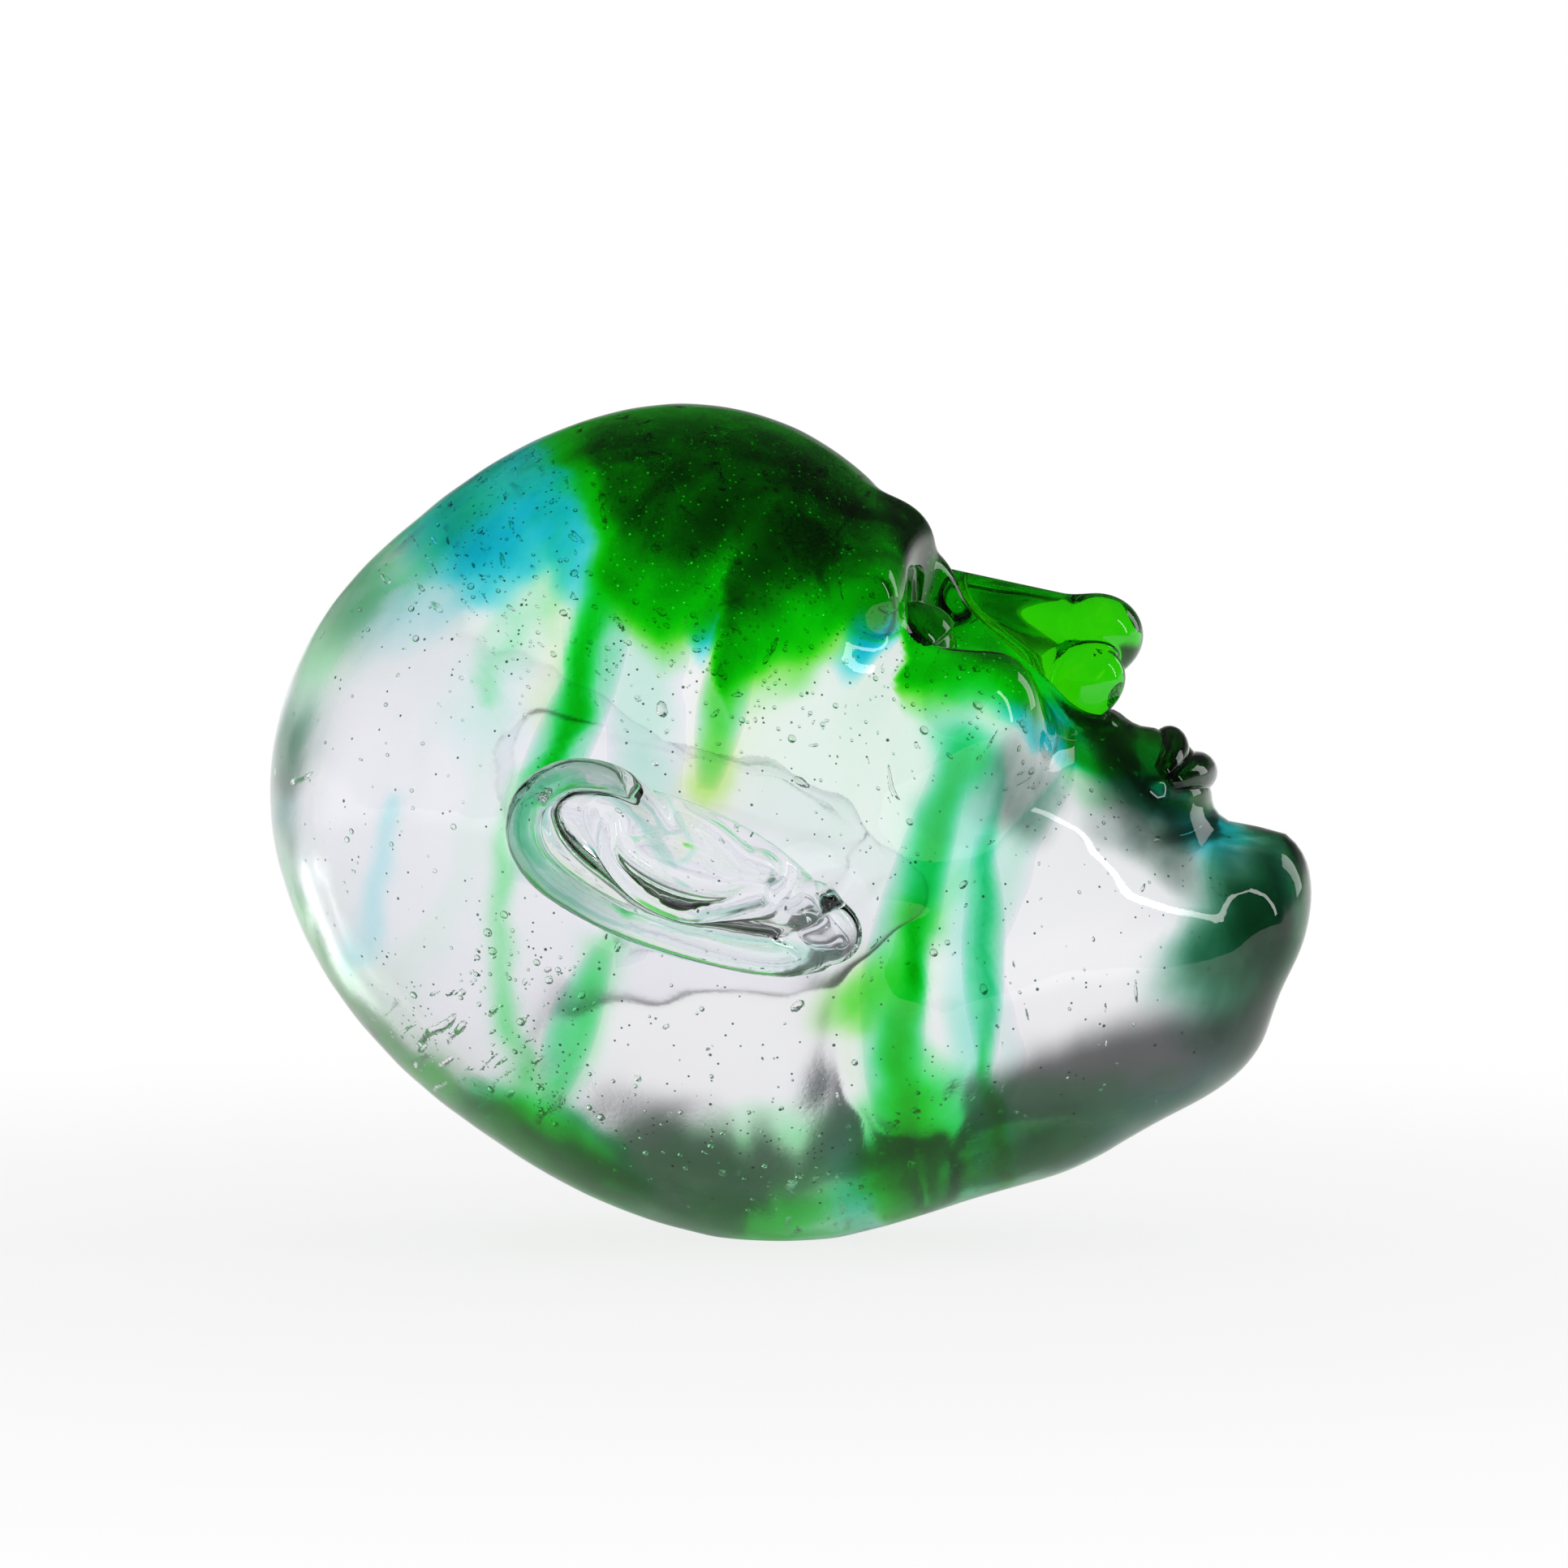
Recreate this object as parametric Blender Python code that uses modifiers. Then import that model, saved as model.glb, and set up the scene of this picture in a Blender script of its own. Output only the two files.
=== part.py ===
"""A cast glass head that lies back on a small ground flat.

The clear body is one casting. Two coloured gathers are let into its brow and
crown, coloured trails are inlaid flush with its sides, and the nose, lips,
closed eyelids and ears are separate bits of glass laid on its surface.

The head is drawn upright: +X is the way the face looks, +Y is the head's own
left and +Z is up. It is then leaned back and set down on the flat.
"""

import math

import bmesh
import bpy
import numpy as np
from mathutils import Matrix, Vector

# Overall sizes of the head, in metres
HEAD_DEPTH = 0.143  # back of the skull to the brow
HEAD_WIDTH = 0.116  # across the skull, over the ears' roots
HEAD_HEIGHT = 0.190  # crown to the underside of the throat
LEAN_BACK = math.radians(48.0)
FLAT_DEPTH = 0.0014  # glass ground away below the head to make the flat

# Fits between the pieces
SEAT_GAP = 0.0003

# Sizes of the laid-on bits
NOSE_LENGTH = 0.039
NOSE_WIDTH = 0.027
NOSE_PROJECTION = 0.0175
MOUTH_WIDTH = 0.040
UPPER_LIP_RADIUS = 0.0035
LOWER_LIP_RADIUS = 0.0042
EYELID_RADIUS = 0.0124
LID_PROUD = 0.0060
LID_STEP = 0.0009  # the upper lid's edge over the lower lid
LID_FLATTEN = 0.78
LID_TURN = math.radians(15.0)  # the eyes' outer corners lie further back
LASH_ANGLE = math.radians(-16.0)
EYE_SPACING = 0.045
EAR_LENGTH = 0.0655
EAR_WIDTH = 0.029
EAR_STAND_OFF = 0.0125
EAR_LEAN = math.radians(20.0)
EAR_PLATE_TIP = math.radians(-14.0)
EAR_VOXEL = 0.0011
TRAIL_RADIUS = 0.0050
TRAIL_SUNK = 0.0020  # how far a trail's middle lies under the surface

# How finely the pieces are drawn
HEAD_DETAIL = 4
NOSE_DETAIL = 3
FACE_SPREAD = math.radians(46.0)  # the face is drawn more finely this far round from its centre
LIP_POINTS = 17
TRAIL_POINTS = 14

# The head is drawn upright at these sizes, and stretched to the overall ones. Places and radii from here
# to the ears are in the drawn head: forward, left and up from a point inside the skull.
DRAWN_SIZE = (0.143, 0.116, 0.190)
FORM_CENTRE = (0.006, 0.0, 0.0)
FACE_CENTRE = (0.062, 0.0, -0.026)
EYE_LINE = 0.0075
MOUTH_LINE = -0.0455
EAR_PLACE = (-0.0032, 0.0128)  # forward, up
SKULL = ((-0.002, 0, 0.019), (0.069, 0.058, 0.076))  # centre, radii

# Masses merged with the skull: centre, radii, and the fillet's reach. One off the middle is on both sides.
MASSES = [
    ((-0.018, 0, 0.038), (0.0465, 0.051, 0.052), 0.012),  # crown
    ((0.024, 0, 0.040), (0.0475, 0.047, 0.045), 0.014),  # forehead
    ((-0.0115, 0, -0.0125), (0.049, 0.046, 0.055), 0.014),  # nape
    ((0.017, 0, -0.030), (0.050, 0.044, 0.054), 0.012),  # face
    ((0.026, 0, -0.051), (0.036, 0.036, 0.033), 0.014),  # under the jaw
    ((0.038, 0, -0.070), (0.021, 0.029, 0.0235), 0.012),  # throat, ending in a round
    ((0.045, 0.031, -0.009), (0.020, 0.016, 0.014), 0.012),  # cheekbones
    ((0.0525, 0, MOUTH_LINE + 0.001), (0.0215, 0.0240, 0.0185), 0.009),  # muzzle
    ((0.0600, 0, -0.0710), (0.0155, 0.0180, 0.0120), 0.008),  # chin
]
# Ridges merged with it, on both sides: start, end, radius at each, and the reach of the fillet
RIDGES = [
    ((0.004, 0.037, -0.040), (0.056, 0.013, -0.073), 0.010, 0.0105, 0.013),  # the jaw's edge
    ((0.0665, 0.009, 0.0235), (0.0550, 0.035, 0.0210), 0.0070, 0.0062, 0.006),  # brow
]
# Hollows in it, as for the masses. The sockets stay under the eyes.
SOCKET_RADII = (0.0175, 0.0165, 0.0120)
SOCKET_FORWARD = 0.0735
TEMPLE = ((0.056, 0.063, 0.034), (0.018, 0.021, 0.025), 0.010)
CHIN_DIP = ((0.0815, -0.011, -0.0580), (0.0815, 0.011, -0.0580), 0.0080, 0.0080, 0.006)

# Coloured gathers let into the head: centre, radii
FOREHEAD_GATHER = ((0.096, 0.0, 0.060), (0.070, 0.140, 0.084))
CROWN_GATHER = ((0.012, 0.0, 0.096), (0.019, 0.062, 0.040))

# Each trail: its side (+1 left, -1 right), its size, and its places as forward and up
TRAILS = {
    "temple_trail_right": (-1, 0.9, [
        (0.026, 0.055), (0.0175, 0.0515), (0.009, 0.0485), (0.000, 0.0455), (-0.009, 0.0425), (-0.018, 0.038),
        (-0.027, 0.033),
    ]),
    "nape_trail_right": (-1, 0.8, [(-0.026, 0.013), (-0.036, 0.010), (-0.046, 0.006), (-0.056, 0.001)]),
    "brow_trail_right": (-1, 0.75, [(0.040, 0.034), (0.029, 0.030), (0.020, 0.025), (0.010, 0.019)]),
    "cheek_trail_right": (-1, 1.0, [
        (0.047, -0.010), (0.0355, -0.0165), (0.021, -0.023), (0.0075, -0.029), (-0.0035, -0.0375),
        (-0.012, -0.047), (-0.019, -0.0565),
    ]),
    "jaw_trail_right": (-1, 0.7, [(0.038, -0.026), (0.028, -0.034), (0.016, -0.0445), (0.004, -0.056)]),
    "temple_trail_left": (1, 0.9, [(0.030, 0.050), (0.015, 0.040), (0.000, 0.028), (-0.020, 0.010)]),
    "cheek_trail_left": (1, 1.0, [(0.052, -0.010), (0.038, -0.024), (0.022, -0.037), (0.006, -0.050)]),
    "nape_trail_left": (1, 0.8, [(-0.034, 0.004), (-0.044, -0.008), (-0.054, -0.018)]),
}

# The nose is drawn at these sizes (projection, width, length) about its root, on the eye line
NOSE_DRAWN = (0.0170, 0.026, 0.036)

# The ear is drawn flat at these sizes: up its length, towards the face, and out from the head
EAR_DRAWN = (0.067, 0.034, 0.0125)
HELIX = [
    (0.001, 0.004, 0.0050), (0.007, 0.011, 0.0045), (0.016, 0.0150, 0.0045), (0.025, 0.0125, 0.0065),
    (0.0300, 0.0050, 0.0090), (0.0290, -0.0045, 0.0110), (0.0230, -0.0115, 0.0122),
    (0.0120, -0.0140, 0.0125), (0.0000, -0.0135, 0.0118), (-0.0120, -0.0105, 0.0100),
    (-0.0210, -0.0060, 0.0080), (-0.0265, 0.0000, 0.0062),
]
HELIX_RADII = [0.0019, 0.0023, 0.0026, 0.0029, 0.0031, 0.0032, 0.0032, 0.0030, 0.0029, 0.0029, 0.0031, 0.0034]
ANTIHELIX = [
    (-0.0170, 0.0035, 0.0065), (-0.0120, -0.0020, 0.0085), (-0.0030, -0.0060, 0.0095),
    (0.0070, -0.0065, 0.0095), (0.0150, -0.0025, 0.0085), (0.0200, 0.0040, 0.0060),
]
ANTIHELIX_RADII = [0.0022, 0.0027, 0.0028, 0.0026, 0.0022, 0.0015]
# The ear's lumps: centre, radii, and whether each lies along the ear's tipped plate
EAR_LUMPS = {
    "plate": ((0.0015, 0.0000, 0.0062), (0.0300, 0.0142, 0.0028), True),
    "root": ((-0.0005, 0.0015, 0.0015), (0.0270, 0.0112, 0.0062), True),
    "lobe": ((-0.0265, 0.0035, 0.0048), (0.0072, 0.0066, 0.0048), False),
    "tragus": ((-0.0050, 0.0115, 0.0048), (0.0056, 0.0032, 0.0044), False),
    "antitragus": ((-0.0165, 0.0060, 0.0066), (0.0046, 0.0034, 0.0034), False),
}
CONCHA = ((-0.0040, 0.0035, 0.0092), (0.0125, 0.0068, 0.0058), True)


def form_scale():
    return np.array([HEAD_DEPTH, HEAD_WIDTH, HEAD_HEIGHT]) / np.array(DRAWN_SIZE)


# Distance functions. Each takes points as rows, and is below zero inside.
def ellipsoid(p, centre, radii):
    q = (p - np.array(centre)) / np.array(radii)
    near = np.linalg.norm(q, axis=1)
    slope = np.maximum(np.linalg.norm(q / np.array(radii), axis=1), 1e-9)
    return near * (near - 1.0) / slope


def rod(p, start, end, start_radius, end_radius):
    a = np.array(start)
    run = np.array(end) - a
    t = np.clip((p - a) @ run / (run @ run), 0.0, 1.0)
    radius = start_radius + t * (end_radius - start_radius)
    return np.linalg.norm(p - a - t[:, None] * run, axis=1) - radius


def merge(first, second, reach):
    """Both shapes as one, with a fillet of about this reach where they meet."""
    h = np.clip(0.5 + 0.5 * (second - first) / reach, 0.0, 1.0)
    return second * (1 - h) + first * h - reach * h * (1 - h)


def hollow(shape, cutter, reach):
    return -merge(-shape, cutter, reach)


def folded(points):
    """The points with their right side folded onto the left, so that what is drawn there is on both sides."""
    return points * np.where(points[:, 1:2] < 0, [[1.0, -1.0, 1.0]], 1.0)


def head_distance(points):
    """The head's form: skull, brow, sockets, cheeks, jaw, muzzle and chin, with no nose, lips or ears."""
    scale = form_scale()
    p = folded(points / scale)
    form = ellipsoid(p, *SKULL)
    for centre, radii, reach in MASSES:
        form = merge(form, ellipsoid(p, centre, radii), reach)
    for start, end, start_radius, end_radius, reach in RIDGES:
        form = merge(form, rod(p, start, end, start_radius, end_radius), reach)
    socket = (SOCKET_FORWARD, EYE_SPACING / 2 / scale[1], EYE_LINE - 0.001)
    form = hollow(form, ellipsoid(p, socket, SOCKET_RADII), 0.005)
    form = hollow(form, ellipsoid(p, *TEMPLE[:2]), TEMPLE[2])
    return hollow(form, rod(p, *CHIN_DIP[:4]), CHIN_DIP[4])


def surface_points(directions, distance, centre, level=0.0, reach=0.16, steps=34):
    """The points where rays from the centre meet the shape's surface, or the surface this far outside it."""
    low = np.zeros(len(directions))
    high = np.full(len(directions), reach)
    for _ in range(steps):
        middle = (low + high) / 2
        inside = distance(centre + directions * middle[:, None]) < level
        low = np.where(inside, middle, low)
        high = np.where(inside, high, middle)
    return centre + directions * ((low + high) / 2)[:, None]


def seat_on_head(start, direction):
    """Where a ray from a place in the drawn head meets the surface, and the outward normal there."""
    start = np.array([start], float) * form_scale()
    point = surface_points(np.array([direction], float), head_distance, start)[0]
    step = 0.0005
    offsets = np.eye(3) * step
    slope = head_distance(point + offsets) - head_distance(point - offsets)
    return Vector(point), Vector(slope).normalized()


# Blender helpers
def clear_scene():
    for obj in list(bpy.data.objects):
        bpy.data.objects.remove(obj)


def new_collection(name):
    made = bpy.data.collections.new(name)
    bpy.context.scene.collection.children.link(made)
    return made


def glass(name, colour, roughness=0.05):
    material = bpy.data.materials.new(name)
    material.use_nodes = True
    shader = material.node_tree.nodes["Principled BSDF"]
    shader.inputs["Base Color"].default_value = (*colour, 1.0)
    shader.inputs["Roughness"].default_value = roughness
    shader.inputs["Metallic"].default_value = 0.0
    shader.inputs["Transmission Weight"].default_value = 1.0
    shader.inputs["IOR"].default_value = 1.52
    return material


def add_object(name, bm, collection, parent, material=None):
    mesh = bpy.data.meshes.new(name)
    bm.to_mesh(mesh)
    bm.free()
    mesh.shade_smooth()
    obj = bpy.data.objects.new(name, mesh)
    collection.objects.link(obj)
    obj.parent = parent
    if material:
        mesh.materials.append(material)
    return obj


def as_cutter(obj):
    obj.hide_render = True
    obj.display_type = "WIRE"
    return obj


def boolean(obj, cutter, operation="DIFFERENCE"):
    modifier = obj.modifiers.new(cutter.name, "BOOLEAN")
    modifier.object = cutter
    modifier.operation = operation


def move_to_surface(bm, distance, centre, level, reach):
    directions = np.array([v.co.normalized() for v in bm.verts])
    for vert, point in zip(bm.verts, surface_points(directions, distance, np.array(centre), level, reach)):
        vert.co = point


def shaped_ball(distance, centre, detail, level=0.0, reach=0.16):
    """An icosphere whose vertices are pushed out to the surface of a shape."""
    bm = bmesh.new()
    bmesh.ops.create_icosphere(bm, subdivisions=detail, radius=1.0)
    move_to_surface(bm, distance, centre, level, reach)
    return bm


def head_ball(level=0.0):
    """The head form, or the form this far outside it, with the face drawn twice as finely as the rest."""
    bm = bmesh.new()
    bmesh.ops.create_icosphere(bm, subdivisions=HEAD_DETAIL, radius=1.0)
    toward = (Vector(FACE_CENTRE) - Vector(FORM_CENTRE)).normalized()
    spread = math.cos(FACE_SPREAD)
    fine = [e for e in bm.edges if all(v.co.normalized().dot(toward) > spread for v in e.verts)]
    bmesh.ops.subdivide_edges(bm, edges=fine, cuts=1, use_grid_fill=True)
    bmesh.ops.triangulate(bm, faces=bm.faces)
    move_to_surface(bm, head_distance, FORM_CENTRE, level, 0.16)
    return bm


def ellipsoid_ball(centre, radii, segments=40, rings=20):
    bm = bmesh.new()
    bmesh.ops.create_uvsphere(bm, u_segments=segments, v_segments=rings, radius=1.0)
    bmesh.ops.transform(bm, matrix=Matrix.LocRotScale(Vector(centre), None, Vector(radii)), verts=bm.verts)
    return bm


def tube(name, points, radii, collection, parent, resolution=2):
    """A mesh tube along the points, with a radius at each and filled ends."""
    curve = bpy.data.curves.new(name, "CURVE")
    curve.dimensions = "3D"
    curve.bevel_depth = 1.0
    curve.bevel_resolution = resolution
    curve.use_fill_caps = True
    spline = curve.splines.new("POLY")
    spline.points.add(len(points) - 1)
    for place, point, radius in zip(spline.points, points, radii):
        place.co = (*point, 1.0)
        place.radius = radius
    drawn = bpy.data.objects.new(name + "_line", curve)
    collection.objects.link(drawn)
    bpy.context.view_layer.update()
    mesh = bpy.data.meshes.new_from_object(drawn.evaluated_get(bpy.context.evaluated_depsgraph_get()))
    bpy.data.objects.remove(drawn)
    bm = bmesh.new()
    bm.from_mesh(mesh)
    bpy.data.meshes.remove(mesh)
    bmesh.ops.remove_doubles(bm, verts=bm.verts, dist=1e-5)
    bmesh.ops.recalc_face_normals(bm, faces=bm.faces)
    return add_object(name, bm, collection, parent)


def smooth_line(points, count):
    """Evenly spaced points along a smooth curve through the given ones."""
    given = [Vector(p) for p in points]
    ends = [given[0] * 2 - given[1], *given, given[-1] * 2 - given[-2]]
    line = []
    for a, b, c, d in zip(ends, ends[1:], ends[2:], ends[3:]):
        for step in range(12):
            t = step / 12
            bend = (2 * a - 5 * b + 4 * c - d) * t**2 + (3 * b - a - 3 * c + d) * t**3
            line.append(b + 0.5 * ((c - a) * t + bend))
    line.append(given[-1])
    lengths = [0.0]
    for a, b in zip(line, line[1:]):
        lengths.append(lengths[-1] + (b - a).length)
    wanted = np.linspace(0.0, lengths[-1], count)
    return np.array([np.interp(wanted, lengths, [p[axis] for p in line]) for axis in range(3)]).T


# The pieces
def gather_cutter(name, gather, extra, collection, parent):
    centre, radii = gather
    scaled = Vector(np.array(centre) * form_scale())
    sizes = Vector(np.array(radii) * form_scale() + extra)
    return as_cutter(add_object(name, ellipsoid_ball(scaled, sizes), collection, parent))


def build_gathers(body, collection, cutters, parent, forehead_material, crown_material):
    """The coloured gathers, and the seats ground for them in the body."""
    forehead_seat = gather_cutter("forehead_seat", FOREHEAD_GATHER, SEAT_GAP, cutters, parent)
    crown_seat = gather_cutter("crown_seat", CROWN_GATHER, SEAT_GAP, cutters, parent)
    forehead_shape = gather_cutter("forehead_shape", FOREHEAD_GATHER, 0.0, cutters, parent)
    crown_shape = gather_cutter("crown_shape", CROWN_GATHER, 0.0, cutters, parent)
    forehead = add_object("forehead_gather", head_ball(), collection, parent, forehead_material)
    crown = add_object("crown_gather", head_ball(), collection, parent, crown_material)
    boolean(forehead, forehead_shape, "INTERSECT")
    boolean(crown, crown_shape, "INTERSECT")
    boolean(crown, forehead_seat)
    boolean(body, forehead_seat)
    boolean(body, crown_seat)
    return forehead_seat, crown_seat


def trail_line(side, places):
    """The trail's places thrown sideways onto the head, and let in a little."""
    line = []
    for forward, up in places:
        point, normal = seat_on_head((forward, 0.0, up), (0.0, side, 0.0))
        line.append(point - normal * TRAIL_SUNK)
    return smooth_line(line, TRAIL_POINTS)


def trail_radii(size, extra):
    """Thick in the middle, and drawn out towards both ends."""
    along = np.linspace(0.0, 1.0, TRAIL_POINTS)
    return TRAIL_RADIUS * size * (0.45 + 0.55 * np.sin(np.pi * (0.08 + 0.84 * along))) + extra


def build_trails(body, form, gather_seats, collection, cutters, parent, material):
    """Trails flush with the head's sides, stopped by the gathers."""
    for name, (side, size, places) in TRAILS.items():
        line = trail_line(side, places)
        trail = tube(name, line, trail_radii(size, 0.0), collection, parent)
        trail.data.materials.append(material)
        boolean(trail, form, "INTERSECT")
        for seat in gather_seats:
            boolean(trail, seat)
        boolean(body, as_cutter(tube(name + "_groove", line, trail_radii(size, SEAT_GAP), cutters, parent)))


def nose_root():
    return np.array(seat_on_head((0.0, 0.0, EYE_LINE), (1.0, 0.0, 0.0))[0])


def nose_shape(root):
    """The distance from a nose with its root here, stretched to its own projection, width and length."""
    grow = np.array([NOSE_PROJECTION, NOSE_WIDTH, NOSE_LENGTH]) / np.array(NOSE_DRAWN)

    def distance(points):
        p = folded((points - root) / grow)
        form = rod(p, (-0.006, 0, 0.009), (0.0110, 0, -0.0215), 0.0050, 0.0062)
        form = merge(form, rod(p, (-0.011, 0, 0.004), (-0.001, 0, -0.024), 0.0075, 0.0105), 0.005)
        form = merge(form, ellipsoid(p, (0.0130, 0, -0.0240), (0.0070, 0.0080, 0.0068)), 0.004)
        form = merge(form, ellipsoid(p, (0.0040, 0.0090, -0.0275), (0.0072, 0.0048, 0.0056)), 0.002)
        return hollow(form, ellipsoid(p, (0.0060, 0.0052, -0.0335), (0.0046, 0.0028, 0.0040)), 0.001)

    return distance


def build_nose(collection, cutters, parent, material, seat):
    """The nose, and a cutter of it that keeps the lids and the lip clear."""
    root = nose_root()
    shape = nose_shape(root)
    middle = root + np.array([0.17 * NOSE_PROJECTION, 0.0, -0.45 * NOSE_LENGTH])
    reach = NOSE_LENGTH + NOSE_PROJECTION
    solid = shaped_ball(shape, middle, NOSE_DETAIL, 0.0, reach)
    grown = shaped_ball(shape, middle, NOSE_DETAIL, SEAT_GAP, reach)
    boolean(add_object("nose", solid, collection, parent, material), seat)
    return as_cutter(add_object("nose_seat", grown, cutters, parent))


def lip_line(height, rise, out):
    """A lip's middle line: across the mouth, lifted in the middle and drawn back at the corners."""
    line = []
    scale = form_scale()
    for along in np.linspace(-1.0, 1.0, LIP_POINTS):
        across = along * MOUTH_WIDTH / 2 / scale[1]
        bow = rise * math.cos(1.5 * math.pi * along) * (1 - along**2)
        up = MOUTH_LINE + (height * (1 - along**2) ** 0.7 + bow) / scale[2]
        point, normal = seat_on_head((0.0, across, up), (1.0, 0.0, 0.0))
        line.append(point + normal * out * (1 - along**2))
    return line


def lip_radii(radius, extra):
    along = np.linspace(-1.0, 1.0, LIP_POINTS)
    return radius * (0.16 + 0.84 * np.sqrt(np.clip(1 - along**2, 0, 1))) + extra


def build_lips(collection, cutters, parent, upper_material, lower_material, seat, nose_seat):
    """Two closed lips. The lower one is cut where the upper one lies over it."""
    upper_line = lip_line(UPPER_LIP_RADIUS * 0.88, UPPER_LIP_RADIUS * 0.2, UPPER_LIP_RADIUS * 0.3)
    lower_line = lip_line(-LOWER_LIP_RADIUS * 0.86, 0.0, LOWER_LIP_RADIUS * 0.3)
    upper = tube("upper_lip", upper_line, lip_radii(UPPER_LIP_RADIUS, 0.0), collection, parent, 3)
    lower = tube("lower_lip", lower_line, lip_radii(LOWER_LIP_RADIUS, 0.0), collection, parent, 3)
    upper_seat = tube("upper_lip_seat", upper_line, lip_radii(UPPER_LIP_RADIUS, SEAT_GAP), cutters, parent, 3)
    boolean(lower, as_cutter(upper_seat))
    boolean(upper, nose_seat)
    for lip, material in ((upper, upper_material), (lower, lower_material)):
        lip.data.materials.append(material)
        boolean(lip, seat)


def build_eyelid(side, collection, parent, material, seat, nose_seat):
    """A closed lid, drawn with its poles at the eye's corners and stepped down at the lash line."""
    across = side * EYE_SPACING / 2
    socket, _ = seat_on_head((0.0, across / form_scale()[1], EYE_LINE), (1.0, 0.0, 0.0))
    bm = bmesh.new()
    bmesh.ops.create_uvsphere(bm, u_segments=28, v_segments=12, radius=1.0)
    bmesh.ops.rotate(bm, matrix=Matrix.Rotation(math.radians(90.0), 3, "X"), verts=bm.verts)
    for vert in bm.verts:
        upper = math.atan2(vert.co.z, vert.co.x) > LASH_ANGLE
        vert.co *= EYELID_RADIUS + (LID_STEP * (1 - vert.co.y**2) if upper else 0.0)
        vert.co.z *= LID_FLATTEN
    bmesh.ops.rotate(bm, matrix=Matrix.Rotation(side * LID_TURN, 3, "Z"), verts=bm.verts)
    centre = socket + Vector((LID_PROUD - EYELID_RADIUS, 0.0, 0.0))
    bmesh.ops.translate(bm, vec=centre, verts=bm.verts)
    eyelid = add_object("eyelid_left" if side > 0 else "eyelid_right", bm, collection, parent, material)
    boolean(eyelid, seat)
    boolean(eyelid, nose_seat)


def ear_frame(side):
    """Where the ear's own axes lie on the head: up its length, towards the face, and out."""
    place, out = seat_on_head((EAR_PLACE[0], 0.0, EAR_PLACE[1]), (0.0, side, 0.0))
    length = Vector((-math.sin(EAR_LEAN), 0.0, math.cos(EAR_LEAN)))
    length = (length - out * length.dot(out)).normalized()
    face = out.cross(length) * side
    return place, Matrix((length, face, out)).transposed()


def fuse_voxels(obj, name):
    fuse = obj.modifiers.new(name, "REMESH")
    fuse.mode = "VOXEL"
    fuse.voxel_size = EAR_VOXEL


def build_ear(side, collection, cutters, parent, material, seat):
    """An ear of a rim, an inner fold and lumps on a tipped plate, fused, hollowed and softened."""
    name = "ear_left" if side > 0 else "ear_right"
    place, turn = ear_frame(side)
    grow = np.array([EAR_LENGTH, EAR_WIDTH, EAR_STAND_OFF]) / np.array(EAR_DRAWN)

    def placed(point):
        return place + turn @ Vector(np.array(point) * grow)

    def lump(part, centre, radii, tipped):
        bm = ellipsoid_ball((0, 0, 0), Vector(np.array(radii) * grow), 20, 12)
        spin = turn.to_4x4() @ Matrix.Rotation(EAR_PLATE_TIP if tipped else 0.0, 4, "X")
        bmesh.ops.transform(bm, matrix=Matrix.Translation(placed(centre)) @ spin, verts=bm.verts)
        if side < 0:
            bmesh.ops.recalc_face_normals(bm, faces=bm.faces)
        return add_object(f"{name}_{part}", bm, cutters, parent)

    def fold(part, line, radii):
        count = 3 * len(line)
        drawn = smooth_line([placed(p) for p in line], count)
        spread = np.interp(np.linspace(0, 1, count), np.linspace(0, 1, len(radii)), radii)
        return tube(f"{name}_{part}", drawn, spread, cutters, parent)

    parts = [fold("helix", HELIX, HELIX_RADII), fold("antihelix", ANTIHELIX, ANTIHELIX_RADII)]
    parts += [lump(part, *drawn) for part, drawn in EAR_LUMPS.items()]
    bm = bmesh.new()
    for part in parts:
        bm.from_mesh(part.data)
        bpy.data.objects.remove(part)
    ear = add_object(name, bm, collection, parent, material)
    fuse_voxels(ear, "fuse")
    boolean(ear, as_cutter(lump("concha", *CONCHA)))
    fuse_voxels(ear, "fuse_bowl")
    soften = ear.modifiers.new("soften", "SMOOTH")
    soften.factor = 0.5
    soften.iterations = 6
    thin = ear.modifiers.new("thin", "DECIMATE")
    thin.ratio = 0.15
    boolean(ear, seat)


def add_ground(collection):
    """A block whose top is the ground, which grinds the flat."""
    bm = bmesh.new()
    bmesh.ops.create_cube(bm, size=1.0)
    bmesh.ops.translate(bm, vec=(0, 0, -0.5), verts=bm.verts)
    return as_cutter(add_object("ground", bm, collection, None))


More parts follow.
